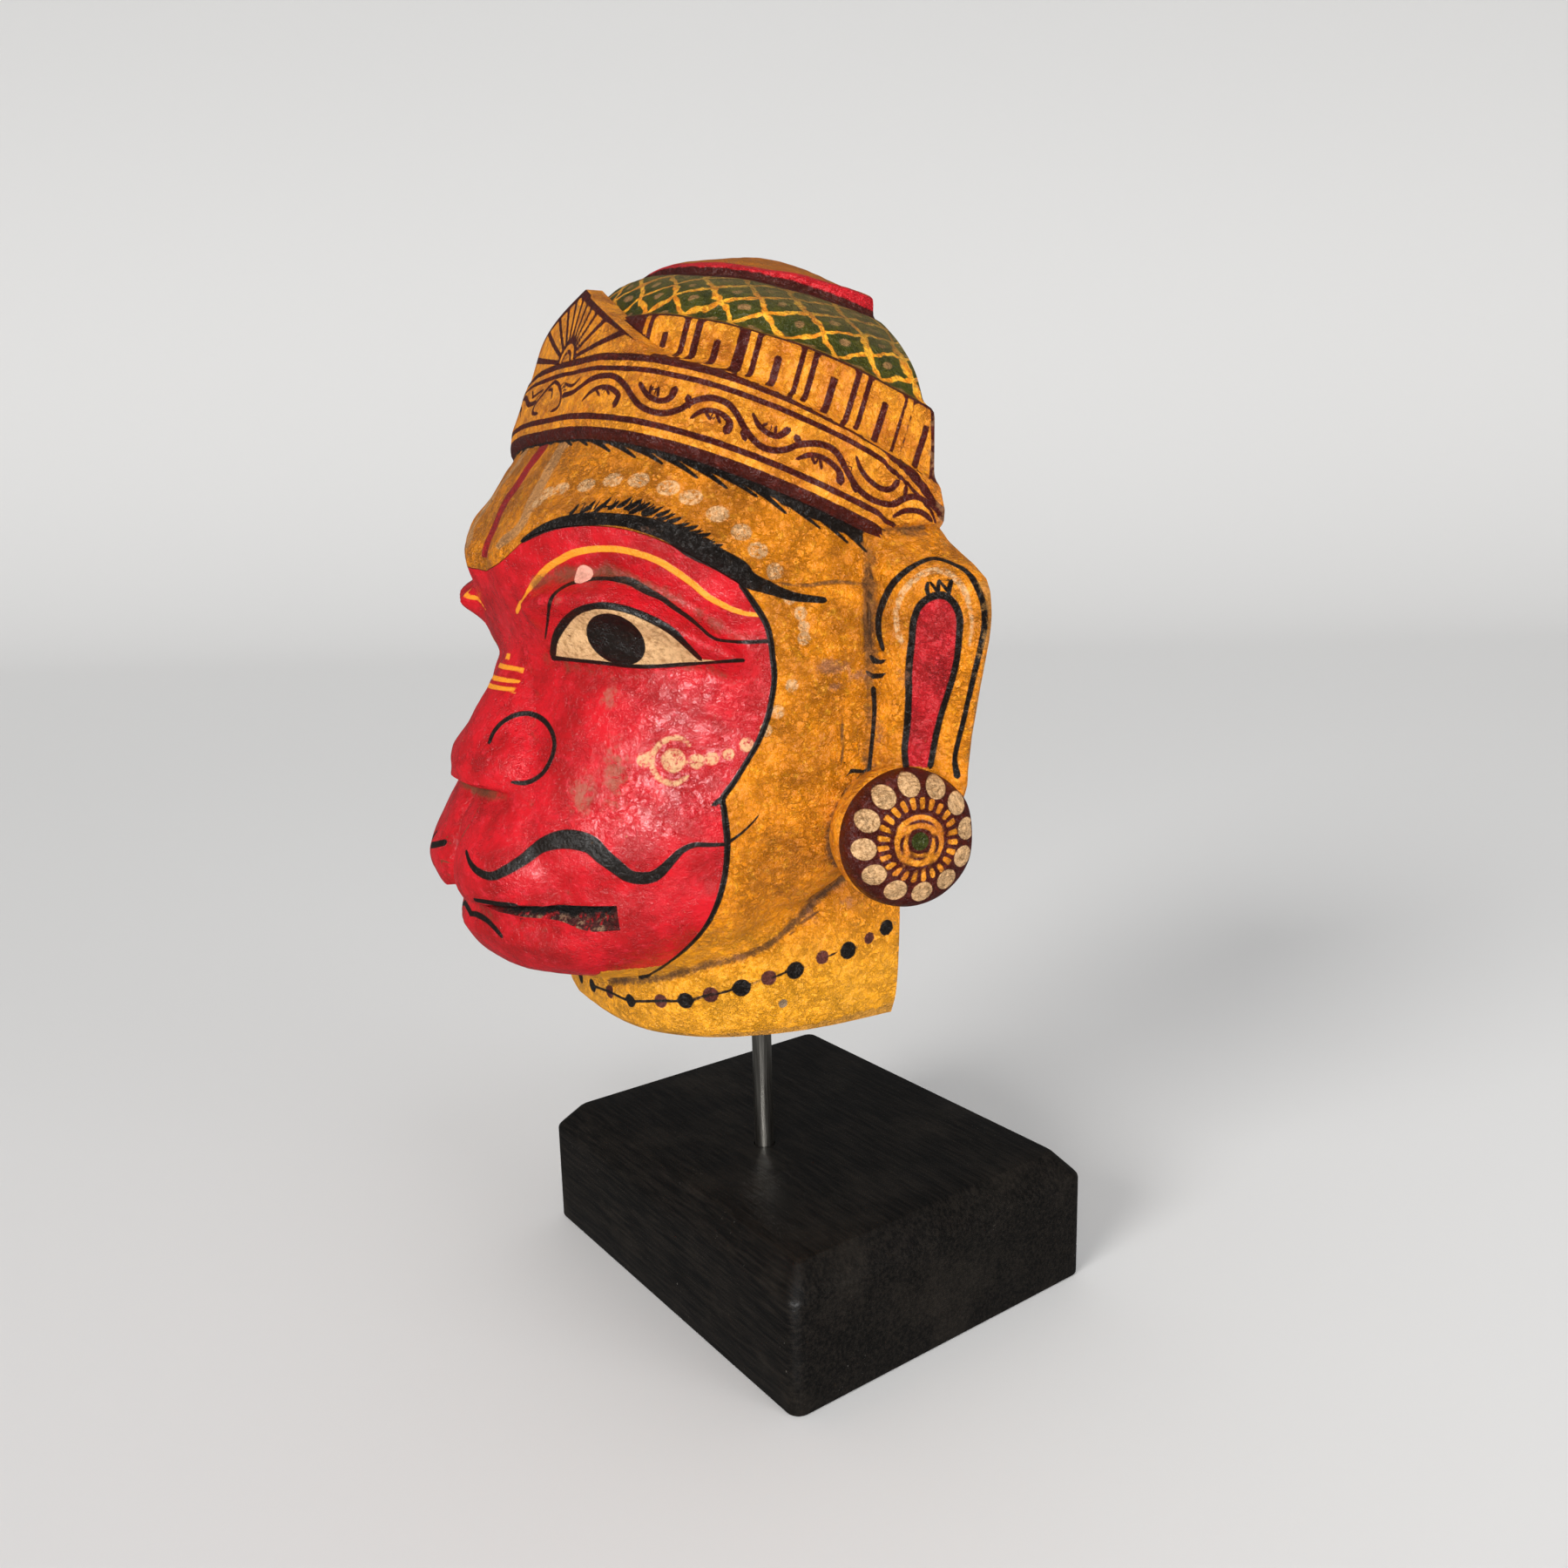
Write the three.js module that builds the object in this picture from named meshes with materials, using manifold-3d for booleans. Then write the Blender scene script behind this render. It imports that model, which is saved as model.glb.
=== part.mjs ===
// A hanuman mask: a half head carved from one block of wood and cut flat at the back,
// held by a steel rod on a black wooden base.
// Millimetres, +Z up. The origin is the middle of the base's underside and the face looks along -Y.
import * as THREE from "three";
import { mergeVertices } from "three/addons/utils/BufferGeometryUtils.js";
import Module from "manifold-3d";

const wasm = await Module();
wasm.setup();

// Base: a slab with a wide chamfer round its top
const BASE_WIDTH = 135;
const BASE_DEPTH = 111;
const BASE_HEIGHT = 40.4;
const CHAMFER_INSET = 6.6;
const CHAMFER_DROP = 7.2;
const FOOT_BEVEL = 0.8;
const CORNER_RADIUS = 4;
const CORNER_STEPS = 4;

// Rod: its ends sit in blind sockets in the base and in the neck
const ROD_DIAMETER = 6;
const ROD_X = 1.1;
const ROD_Y = -16.7;
const ROD_SIDES = 20;
const SOCKET_DEPTH = 24;
const SOCKET_CLEARANCE = 0.3;

// Head: its own frame has the rod's axis at x = 0, y = 0, and z counted from the floor
const HEAD_TURN = THREE.MathUtils.degToRad(-6);
const NECK_UNDERSIDE = 97;
const BACK_Y = 13.3;

// Each station is one carved outline, a half superellipse that leans back:
// height at the front, height at the back, y of the front, half width at the back, roundness
const FACE_STATIONS = [
  [NECK_UNDERSIDE, NECK_UNDERSIDE, -52.5, 50.5, 2.6],
  [99.5, 104, -55, 53, 2.6],
  [103, 124, -55.5, 54.8, 2.6],
  [108.6, 149.5, -56, 55.4, 2.6],
  [110.8, 152.5, -61, 59, 2.3],
  [113.2, 154, -70, 61.8, 2.2],
  [118, 156, -81.5, 64, 2.15],
  [127, 158.5, -88, 66.5, 2.1],
  [136.5, 161, -90.5, 67.5, 2.05],
  [144, 163, -91.5, 68.5, 2.1],
  [155, 165.5, -89.5, 69, 2.15],
  [164, 169, -84.5, 69.5, 2.15],
  [180, 180, -75.5, 70.5, 2.2],
  [197, 191, -71, 71, 2.3],
  [219, 203.5, -76.5, 71.5, 2.25],
  [233, 209.5, -72.5, 71, 2.4],
  [252, 218.3, -58.5, 69.5, 2.75],
];
const BAND_STATIONS = [
  [252, 218.3, -60.3, 71.4, 2.8],
  [257, 222, -59.6, 72, 2.75],
  [272.6, 238, -52.8, 72.6, 2.7],
];
const PETAL_STATIONS = [
  [273, 238.7, -49, 70.4, 2.6],
  [281.6, 256.3, -46, 70.6, 2.5],
];
const DOME_STATIONS = [
  [281.6, 256.6, -42.5, 66.6, 2.4],
  [286, 264.5, -40.5, 63.2, 2.35],
  [290, 272, -36.5, 57, 2.2],
  [293, 279, -33, 48.2, 2.1],
];
const CAP_STATIONS = [
  [293.2, 279.2, -27, 44.8, 2],
  [295.2, 284, -27, 45.2, 2],
  [298, 288.6, -20.5, 34.5, 2],
  [300.8, 296.5, -2, 14, 2],
];
// Rows are spaced by their distance, measured in part along the front and in part along the back
const FINE_STEPS = 600;
const FRONT_SHARE = 0.6;
const MOUTH_STATION = 8;
const FACE_ROWS = 42;
const BAND_ROWS = 5;
const PETAL_ROWS = 3;
const DOME_ROWS = 5;
const CAP_ROWS = 6;

// Columns round a half outline: evenly over the face, closer over the ear
const FRONT_COLUMNS = 24;
const EAR_COLUMNS = 7;
const EAR_START_ANGLE = THREE.MathUtils.degToRad(79);
const MIDDLE_CROWDING = 1.2;

// Carving on the face is placed by the angle round an upright axis, in degrees from the middle,
// and by height, and it moves the surface towards or away from that axis
const FACE_AXIS_Y = -10;
const BROW = [[8, 224], [25, 230.5], [40, 231.5], [57, 227], [69, 218]];
const LID_FOLD = [[22, 216.5], [30, 218.5], [40, 219.3], [52, 213.5], [66, 203]];
const EYELID = [[21, 211], [26, 213], [33, 213.8], [40, 213.3], [53, 208], [64, 200]];
const EYE = { angle: 40, height: 204, halfAngle: 23, halfHeight: 12 };
const UNDER_EYE = [[18, 197], [40, 195.5], [62, 197]];
const NOSE = { top: 202, tip: 171, underside: 165.5, halfWidthTop: 9, halfWidthWing: 25 };
const NOSE_REACH = [
  [163, 4.6], [166.4, 5.4], [170.4, 7.7], [173.8, 8.5], [177, 8.6],
  [184, 7.2], [187, 6.3], [191, 4.9], [196, 2.2], [202, 0],
];
const NOSE_WING = { angle: 13, height: 174, halfAngle: 9, halfHeight: 8 };
const LIP_LOBE = { angle: 15, height: 143, halfAngle: 18, halfHeight: 15 };
const LIP_VALLEY = [[22, 163], [25, 152], [31, 141]];
const PHILTRUM = [[0, 139], [0, 163]];
const MOUTH_TOPS = [
  [0, 138.3], [3, 137.6], [7, 136.5], [11, 136.7], [16, 137.8], [25, 138.8], [31, 139], [40, 139.4],
];
const MOUTH = {
  cornerAngle: 40,
  depth: 6,
  openMiddle: 0.8,
  openCorner: 7.4,
  innerGap: 1.5,
  widenFrom: 0.1,
  widenTo: 0.62,
};
const MOUTH_STEPS = 16;
const JAW_HOLLOW = { angle: 76, height: 148, halfAngle: 16, halfHeight: 26 };
const CHEEK = { angle: 33, height: 178, halfAngle: 24, halfHeight: 20 };

// How far each feature stands out of the plain head, in millimetres, and how wide a ridge is
const RIDGES = [
  { line: BROW, out: 2.8, width: 6 },
  { line: LID_FOLD, out: -1.6, width: 4 },
  { line: EYELID, out: 4.2, width: 6 },
  { line: UNDER_EYE, out: -1.2, width: 3 },
  { line: LIP_VALLEY, out: -0.8, width: 3 },
  { line: PHILTRUM, out: -2, width: 3.4 },
];
const BUMPS = [
  { spot: EYE, out: 1.6 },
  { spot: CHEEK, out: 1.5 },
  { spot: LIP_LOBE, out: 3.6 },
  { spot: JAW_HOLLOW, out: -3 },
];
const NOSE_WING_OUT = 1.6;
const LOWER_LIP = { out: -3.6, bottom: 126, full: 133.5, blend: 2, fadeFrom: 22, fadeTo: 36 };

// Ear: flares out to the back plane; pairs of height and how far it stands out there
const EAR_FRONT_Y = -6;
const EAR_REACH = [
  [140, 0], [150, 7], [160, 14.5], [166, 15.8], [170, 15.6], [178.5, 16.2], [191, 18.8], [201, 21.2], [208, 22.5],
  [213, 22.7], [216, 21.8], [219, 18], [222, 12], [225, 6.6], [228, 1.8], [232, 2.2], [236, 0.8], [240, 0],
];

// Earring: a domed disc on a short round block
const EARRING = {
  x: 78.7,
  y: -0.9,
  z: 153.8,
  turn: 76,
  radius: 17.1,
  blockRadius: 17.7,
  wall: 2,
  dome: 7.5,
  root: 27,
};
const EARRING_SIDES = 32;

// Crest: a plate over the front of the crown, which runs out to nothing on the near side only
const CREST = {
  nearEnd: 41,
  farEnd: -39.2,
  farRise: 6.2,
  farCurve: 0.9,
  apex: 290.6,
  foot: 272.4,
  thickness: 5.5,
  lean: 6.8,
  nearRise: 0.6,
  footDrop: 0.5,
  sunkBack: 1.5,
  sunkDown: 2.5,
};
const CREST_COLUMNS = 14;

const WOOD_PAINT = new THREE.MeshStandardMaterial({ color: 0xc98a1c, roughness: 0.6, metalness: 0 });
const STEEL = new THREE.MeshStandardMaterial({ color: 0xb9b5ad, roughness: 0.3, metalness: 1 });
const BLACK_WOOD = new THREE.MeshStandardMaterial({ color: 0x14120f, roughness: 0.45, metalness: 0 });

// A closed mesh as a solid that can be joined and cut
function solid(geometry) {
  const bare = geometry.clone();
  bare.deleteAttribute("normal");
  bare.deleteAttribute("uv");
  const merged = mergeVertices(bare, 1e-4);
  return new wasm.Manifold(
    new wasm.Mesh({
      numProp: 3,
      vertProperties: merged.attributes.position.array,
      triVerts: new Uint32Array(merged.index.array),
    }),
  );
}

function geometryOf(manifold) {
  const { vertProperties, triVerts } = manifold.getMesh();
  const geometry = new THREE.BufferGeometry();
  geometry.setAttribute("position", new THREE.BufferAttribute(vertProperties, 3));
  geometry.setIndex(new THREE.BufferAttribute(triVerts, 1));
  return geometry;
}

// A solid through a stack of closed loops with equally many points, closed by a fan at each end.
// Each four-sided patch is split along its shorter diagonal.
function loft(loops) {
  const count = loops[0].length;
  const positions = [];
  const index = [];
  for (const loop of loops) for (const p of loop) positions.push(...p);
  const gap = (p, q) => Math.hypot(p[0] - q[0], p[1] - q[1], p[2] - q[2]);
  for (let row = 0; row + 1 < loops.length; row += 1) {
    const [low, high] = [loops[row], loops[row + 1]];
    for (let i = 0; i < count; i += 1) {
      const next = (i + 1) % count;
      const a = row * count + i;
      const b = row * count + next;
      if (gap(low[i], high[next]) <= gap(low[next], high[i])) index.push(a, b, b + count, a, b + count, a + count);
      else index.push(a, b, a + count, b, b + count, a + count);
    }
  }
  for (const [row, flip] of [[0, true], [loops.length - 1, false]]) {
    const middle = [0, 0, 0];
    for (const p of loops[row]) for (let k = 0; k < 3; k += 1) middle[k] += p[k] / count;
    const hub = positions.length / 3;
    positions.push(...middle);
    for (let i = 0; i < count; i += 1) {
      const a = row * count + i;
      const b = row * count + ((i + 1) % count);
      index.push(...(flip ? [hub, b, a] : [hub, a, b]));
    }
  }
  const geometry = new THREE.BufferGeometry();
  geometry.setAttribute("position", new THREE.Float32BufferAttribute(positions, 3));
  geometry.setIndex(index);
  return geometry;
}

// Slopes of a smooth curve through equally spaced values that never overshoots them
function slopes(values) {
  return values.map((_, i) => {
    const before = i > 0 ? values[i] - values[i - 1] : values[1] - values[0];
    const after = i + 1 < values.length ? values[i + 1] - values[i] : before;
    return before * after > 0 ? (2 * before * after) / (before + after) : 0;
  });
}

// Rows on a smooth curve through the stations, evenly spaced along it
function smoothRows(stations, rows) {
  const columns = stations[0].map((_, k) => stations.map((station) => station[k]));
  const tangents = columns.map(slopes);
  const at = (place) => {
    const i = Math.min(Math.floor(place), stations.length - 2);
    const t = place - i;
    return columns.map((values, k) => {
      const [a, b] = [values[i], values[i + 1]];
      const [ma, mb] = [tangents[k][i], tangents[k][i + 1]];
      return (
        (2 * t ** 3 - 3 * t ** 2 + 1) * a +
        (t ** 3 - 2 * t ** 2 + t) * ma +
        (3 * t ** 2 - 2 * t ** 3) * b +
        (t ** 3 - t ** 2) * mb
      );
    });
  };
  const fine = Array.from({ length: FINE_STEPS + 1 }, (_, i) => (i / FINE_STEPS) * (stations.length - 1));
  const length = [0];
  for (let i = 1; i < fine.length; i += 1) {
    const [a, b] = [at(fine[i - 1]), at(fine[i])];
    const front = Math.hypot(b[0] - a[0], b[2] - a[2]);
    const back = Math.hypot(b[1] - a[1], b[3] - a[3]);
    length.push(length[i - 1] + FRONT_SHARE * front + (1 - FRONT_SHARE) * back);
  }
  let next = 0;
  return Array.from({ length: rows }, (_, row) => {
    const wanted = (row / (rows - 1)) * length[FINE_STEPS];
    while (next < FINE_STEPS && length[next] < wanted) next += 1;
    return at(row + 1 === rows ? stations.length - 1 : fine[next]);
  });
}

const smoothstep = THREE.MathUtils.smoothstep;

function piecewise(pairs, at) {
  if (at <= pairs[0][0]) return pairs[0][1];
  for (let i = 1; i < pairs.length; i += 1) {
    const [x0, y0] = pairs[i - 1];
    const [x1, y1] = pairs[i];
    if (at < x1) return THREE.MathUtils.mapLinear(at, x0, x1, y0, y1);
  }
  return pairs[pairs.length - 1][1];
}

// A round bump that fades to nothing at its half sizes
function bump(angle, height, { angle: a0, height: h0, halfAngle, halfHeight }) {
  const q = ((angle - a0) / halfAngle) ** 2 + ((height - h0) / halfHeight) ** 2;
  return q < 1 ? (1 - q) ** 2 : 0;
}

// A ridge with a bell-shaped section along a line of (angle, height) points
function ridge(angle, height, line, width, mmPerDegree) {
  let nearest = Infinity;
  for (let i = 0; i + 1 < line.length; i += 1) {
    const [ax, ay] = [line[i][0] * mmPerDegree, line[i][1]];
    const [bx, by] = [line[i + 1][0] * mmPerDegree, line[i + 1][1]];
    const [px, py] = [angle * mmPerDegree, height];
    const length2 = (bx - ax) ** 2 + (by - ay) ** 2;
    const t = THREE.MathUtils.clamp(((px - ax) * (bx - ax) + (py - ay) * (by - ay)) / length2, 0, 1);
    nearest = Math.min(nearest, Math.hypot(px - ax - t * (bx - ax), py - ay - t * (by - ay)));
  }
  return Math.exp(-((nearest / width) ** 2));
}

function noseRelief(angle, height, mmPerDegree) {
  if (height > NOSE.top || height < NOSE.underside - 2) return 0;
  const down = Math.min((NOSE.top - height) / (NOSE.top - NOSE.tip), 1);
  const halfWidth = THREE.MathUtils.lerp(NOSE.halfWidthTop, NOSE.halfWidthWing, down);
  const across = (angle * mmPerDegree) / halfWidth;
  const section = across < 1 ? (1 - across ** 2) ** 1.2 : 0;
  const ledge = smoothstep(height, NOSE.underside - 1, NOSE.underside + 1.5);
  return (piecewise(NOSE_REACH, height) * section + NOSE_WING_OUT * bump(angle, height, NOSE_WING)) * ledge;
}

// 1 where the lower lip is set back under the upper one
function lowerLip(angle, height) {
  const { bottom, full, blend, fadeFrom, fadeTo } = LOWER_LIP;
  const top = piecewise(MOUTH_TOPS, angle);
  const rise = smoothstep(height, bottom, full) * (1 - smoothstep(height, top - blend, top + blend));
  return rise * (1 - smoothstep(angle, fadeFrom, fadeTo));
}

// How far the carving stands out of the plain head, in millimetres
function faceRelief(angle, height, mmPerDegree) {
  let out = noseRelief(angle, height, mmPerDegree) + LOWER_LIP.out * lowerLip(angle, height);
  for (const { line, out: reach, width } of RIDGES) out += reach * ridge(angle, height, line, width, mmPerDegree);
  for (const { spot, out: reach } of BUMPS) out += reach * bump(angle, height, spot);
  return out;
}

function earRelief(y, height) {
  const back = (y - EAR_FRONT_Y) / (BACK_Y - EAR_FRONT_Y);
  if (back <= 0) return 0;
  return piecewise(EAR_REACH, height) * (0.18 * smoothstep(back, 0, 0.15) + 0.82 * back ** 0.85);
}

// The angles of a half outline, from the middle of the front to the back plane
function halfAngles() {
  const front = Array.from(
    { length: FRONT_COLUMNS },
    (_, i) => EAR_START_ANGLE * (i / FRONT_COLUMNS) ** MIDDLE_CROWDING,
  );
  const ear = Array.from(
    { length: EAR_COLUMNS + 1 },
    (_, i) => EAR_START_ANGLE + ((Math.PI / 2 - EAR_START_ANGLE) * i) / EAR_COLUMNS,
  );
  return [...front, ...ear];
}

function outline([frontZ, backZ, frontY, halfWidth, roundness], isFace) {
  const half = halfAngles().map((angle) => {
    const forward = Math.max(Math.cos(angle), 0) ** (2 / roundness);
    let x = halfWidth * Math.sin(angle) ** (2 / roundness);
    let y = BACK_Y - (BACK_Y - frontY) * forward;
    const z = backZ + (frontZ - backZ) * forward;
    if (isFace) {
      const radius = Math.hypot(x, y - FACE_AXIS_Y);
      const round = Math.atan2(x, FACE_AXIS_Y - y);
      const out = faceRelief(THREE.MathUtils.radToDeg(round), z, (radius * Math.PI) / 180);
      y -= out * Math.cos(round);
      x += out * Math.sin(round);
    }
    return [x + earRelief(y, z), y, z];
  });
  half[half.length - 1][1] = BACK_Y;
  const mirrored = half.slice(1).map(([x, y, z]) => [-x, y, z]).reverse();
  return [...mirrored, ...half];
}

function makeSkin() {
  const loops = [
    ...smoothRows(FACE_STATIONS, FACE_ROWS).map((row) => outline(row, true)),
    ...smoothRows(BAND_STATIONS, BAND_ROWS).map((row) => outline(row, false)),
    ...smoothRows(PETAL_STATIONS, PETAL_ROWS).map((row) => outline(row, false)),
    ...smoothRows(DOME_STATIONS, DOME_ROWS).map((row) => outline(row, false)),
    ...smoothRows(CAP_STATIONS, CAP_ROWS).map((row) => outline(row, false)),
  ];
  return solid(loft(loops));
}

// Height of the crest above its foot
function crestRise(x) {
  const high = CREST.apex - CREST.foot;
  if (x >= 0) return CREST.nearRise + (high - CREST.nearRise) * (1 - x / CREST.nearEnd);
  return CREST.farRise + (high - CREST.farRise) * (1 - x / CREST.farEnd) ** CREST.farCurve;
}

// A triangular plate that follows the round front of the crown
function makeCrest() {
  const [frontZ, backZ, frontY, halfWidth, roundness] = BAND_STATIONS[BAND_STATIONS.length - 1];
  const loops = [];
  for (let i = 0; i <= CREST_COLUMNS; i += 1) {
    const side = (2 * i) / CREST_COLUMNS - 1;
    const x = side * (side < 0 ? -CREST.farEnd : CREST.nearEnd);
    const forward = (1 - (Math.abs(x) / halfWidth) ** roundness) ** (1 / roundness);
    const footY = BACK_Y - (BACK_Y - frontY) * forward;
    const footZ = backZ + (frontZ - backZ) * forward - CREST.footDrop;
    const rise = crestRise(x);
    const lean = (CREST.lean * rise) / (CREST.apex - CREST.foot);
    loops.push([
      [x, footY + CREST.sunkBack, footZ - CREST.sunkDown],
      [x, footY + CREST.sunkBack + CREST.thickness, footZ - CREST.sunkDown],
      [x, footY + 2 * CREST.thickness, footZ],
      [x, footY + lean + CREST.thickness, footZ + rise],
      [x, footY + lean, footZ + rise],
      [x, footY, footZ],
    ]);
  }
  return solid(loft(loops));
}

// Distance from the upright face axis to the plain head at the height of the mouth
function mouthRadius(angle) {
  const [, , frontY, halfWidth] = FACE_STATIONS[MOUTH_STATION];
  const depth = BACK_Y - frontY;
  const offset = BACK_Y - FACE_AXIS_Y;
  const a = (Math.sin(angle) / halfWidth) ** 2 + (Math.cos(angle) / depth) ** 2;
  const b = (2 * offset * Math.cos(angle)) / depth ** 2;
  const c = (offset / depth) ** 2 - 1;
  return (-b + Math.sqrt(b * b - 4 * a * c)) / (2 * a);
}

// The wedge that opens the mouth, thin in the middle and wide at the corners
function makeMouthCut() {
  const loops = [];
  for (let i = -MOUTH_STEPS; i <= MOUTH_STEPS; i += 1) {
    const share = i / MOUTH_STEPS;
    const angle = THREE.MathUtils.degToRad(share * MOUTH.cornerAngle);
    const top = piecewise(MOUTH_TOPS, Math.abs(share) * MOUTH.cornerAngle);
    const widen = smoothstep(Math.abs(share), MOUTH.widenFrom, MOUTH.widenTo);
    const open = THREE.MathUtils.lerp(MOUTH.openMiddle, MOUTH.openCorner, widen);
    const gap = Math.min(MOUTH.innerGap, open);
    const inner = mouthRadius(angle) - MOUTH.depth;
    const outer = inner + 3 * MOUTH.depth;
    const at = (radius, z) => [radius * Math.sin(angle), FACE_AXIS_Y - radius * Math.cos(angle), z];
    loops.push([at(inner, top - gap), at(inner, top), at(outer, top), at(outer, top - gap - 3 * (open - gap))]);
  }
  return solid(loft(loops));
}

// A domed disc on a block whose root is buried in the head
function makeEarring(side) {
  const { radius, blockRadius, wall, dome, root } = EARRING;
  const profile = [
    [0, -root],
    [blockRadius - 4, -root],
    [blockRadius, -wall - 4],
    [blockRadius - 0.4, -wall],
    [radius, 0],
  ];
  for (let i = 1; i <= 5; i += 1) {
    const angle = (i / 5) * (Math.PI / 2);
    profile.push([radius * Math.cos(angle), dome * Math.sin(angle)]);
  }
  profile[profile.length - 1][0] = 0;
  const geometry = new THREE.LatheGeometry(
    profile.map(([r, h]) => new THREE.Vector2(r, h)),
    EARRING_SIDES,
  );
  geometry.rotateZ(Math.PI + side * THREE.MathUtils.degToRad(EARRING.turn));
  geometry.translate(side * EARRING.x, EARRING.y, EARRING.z);
  return solid(geometry);
}

function cylinderSolid(radius, bottom, top) {
  const geometry = new THREE.CylinderGeometry(radius, radius, top - bottom, ROD_SIDES);
  geometry.rotateX(Math.PI / 2);
  geometry.translate(0, 0, (bottom + top) / 2);
  return solid(geometry);
}

function makeHead() {
  const behind = new THREE.BoxGeometry(400, 200, 400);
  behind.translate(0, BACK_Y + 100, 200);
  const socket = cylinderSolid(
    ROD_DIAMETER / 2 + SOCKET_CLEARANCE,
    NECK_UNDERSIDE - 5,
    NECK_UNDERSIDE + SOCKET_DEPTH + SOCKET_CLEARANCE,
  );
  const head = makeSkin()
    .add(makeCrest())
    .add(makeEarring(1))
    .add(makeEarring(-1))
    .subtract(makeMouthCut())
    .subtract(solid(behind))
    .subtract(socket);
  const mesh = new THREE.Mesh(geometryOf(head), WOOD_PAINT);
  mesh.name = "head";
  mesh.position.set(ROD_X, ROD_Y, 0);
  mesh.rotation.z = HEAD_TURN;
  return mesh;
}

function makeRod() {
  const bottom = BASE_HEIGHT - SOCKET_DEPTH;
  const top = NECK_UNDERSIDE + SOCKET_DEPTH;
  const geometry = new THREE.CylinderGeometry(ROD_DIAMETER / 2, ROD_DIAMETER / 2, top - bottom, ROD_SIDES);
  geometry.rotateX(Math.PI / 2);
  const mesh = new THREE.Mesh(geometry, STEEL);
  mesh.name = "rod";
  mesh.position.set(ROD_X, ROD_Y, (bottom + top) / 2);
  return mesh;
}

// A rectangle with rounded corners at one height of the base
function baseLoop(inset, z) {
  const loop = [];
  const radius = Math.max(CORNER_RADIUS - inset * 0.3, 1);
  for (let corner = 0; corner < 4; corner += 1) {
    const sideX = corner === 0 || corner === 3 ? 1 : -1;
    const sideY = corner < 2 ? 1 : -1;
    for (let i = 0; i <= CORNER_STEPS; i += 1) {
      const angle = (corner + i / CORNER_STEPS) * (Math.PI / 2);
      const x = sideX * (BASE_WIDTH / 2 - inset - radius) + radius * Math.cos(angle);
      const y = sideY * (BASE_DEPTH / 2 - inset - radius) + radius * Math.sin(angle);
      loop.push([x, y, z]);
    }
  }
  return loop;
}

function makeBase() {
  const slab = solid(
    loft([
      baseLoop(FOOT_BEVEL, 0),
      baseLoop(0, FOOT_BEVEL),
      baseLoop(0, BASE_HEIGHT - CHAMFER_DROP),
      baseLoop(CHAMFER_INSET, BASE_HEIGHT),
    ]),
  );
  const socket = cylinderSolid(
    ROD_DIAMETER / 2 + SOCKET_CLEARANCE,
    BASE_HEIGHT - SOCKET_DEPTH - SOCKET_CLEARANCE,
    BASE_HEIGHT + 5,
  ).translate([ROD_X, ROD_Y, 0]);
  const mesh = new THREE.Mesh(geometryOf(slab.subtract(socket)), BLACK_WOOD);
  mesh.name = "base";
  return mesh;
}

const mask = new THREE.Group();
mask.add(makeBase(), makeRod(), makeHead());
export default mask;
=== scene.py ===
import math

import bpy
import numpy as np
from mathutils import Matrix, Vector
from mathutils.bvhtree import BVHTree
from mathutils.kdtree import KDTree


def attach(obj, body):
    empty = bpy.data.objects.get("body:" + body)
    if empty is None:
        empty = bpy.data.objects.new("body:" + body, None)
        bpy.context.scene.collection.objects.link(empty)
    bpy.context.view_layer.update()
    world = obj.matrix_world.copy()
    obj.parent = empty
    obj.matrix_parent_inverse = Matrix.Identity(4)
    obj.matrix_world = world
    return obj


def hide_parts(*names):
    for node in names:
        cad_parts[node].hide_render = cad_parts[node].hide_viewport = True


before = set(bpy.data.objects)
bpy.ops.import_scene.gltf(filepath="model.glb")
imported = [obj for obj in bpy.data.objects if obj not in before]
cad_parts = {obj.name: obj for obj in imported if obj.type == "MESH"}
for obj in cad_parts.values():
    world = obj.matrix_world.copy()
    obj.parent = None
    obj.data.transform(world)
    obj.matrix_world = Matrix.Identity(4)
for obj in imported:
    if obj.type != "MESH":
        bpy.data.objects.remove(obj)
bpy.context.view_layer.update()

MM = 0.001

# Camera
PHOTO_SIZE = 1800
FOCAL_PIXELS = 1476.375
CAMERA_AZIMUTH = math.radians(53.856)
CAMERA_ELEVATION = math.radians(11.147)
CAMERA_ROLL = math.radians(-1.385)
CAMERA_DISTANCE = 391.365
AIM_SIDE = -4.05
AIM_HEIGHT = 152.415
SENSOR_WIDTH = 36.0

# Rod and base, as in the solids
ROD_RADIUS = 3.0
ROD_X = 1.1
ROD_Y = -16.7
ROD_BOTTOM = 16.4
ROD_TOP = 121.0
BASE_WIDTH = 135.0
BASE_DEPTH = 111.0
BASE_HEIGHT = 40.4
CHAMFER_INSET = 6.6
CHAMFER_DROP = 7.2
FOOT_BEVEL = 0.8
BASE_EDGE = BASE_HEIGHT - CHAMFER_DROP
# Rings of the base from its foot up: how far in, how high, radius of the corners
BASE_RINGS = [
    (FOOT_BEVEL, 0, 3.4),
    (0.2, 0.3, 3.8),
    (0, FOOT_BEVEL, 4),
    (0, 12, 4),
    (0, 24, 4),
    (0, BASE_EDGE - 1.2, 4),
    (0.15, BASE_EDGE - 0.4, 4),
    (0.6, BASE_EDGE + 0.3, 3.9),
    (CHAMFER_INSET - 0.9, BASE_HEIGHT - 0.9, 3),
    (CHAMFER_INSET - 0.1, BASE_HEIGHT - 0.25, 2.9),
    (CHAMFER_INSET + 0.9, BASE_HEIGHT, 2.8),
    (CHAMFER_INSET + 10, BASE_HEIGHT, 2.6),
    (CHAMFER_INSET + 25, BASE_HEIGHT, 2.4),
]
CORNER_CUTS = 7
SIDE_CUTS = 24
LONG_SIDE = 20
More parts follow.
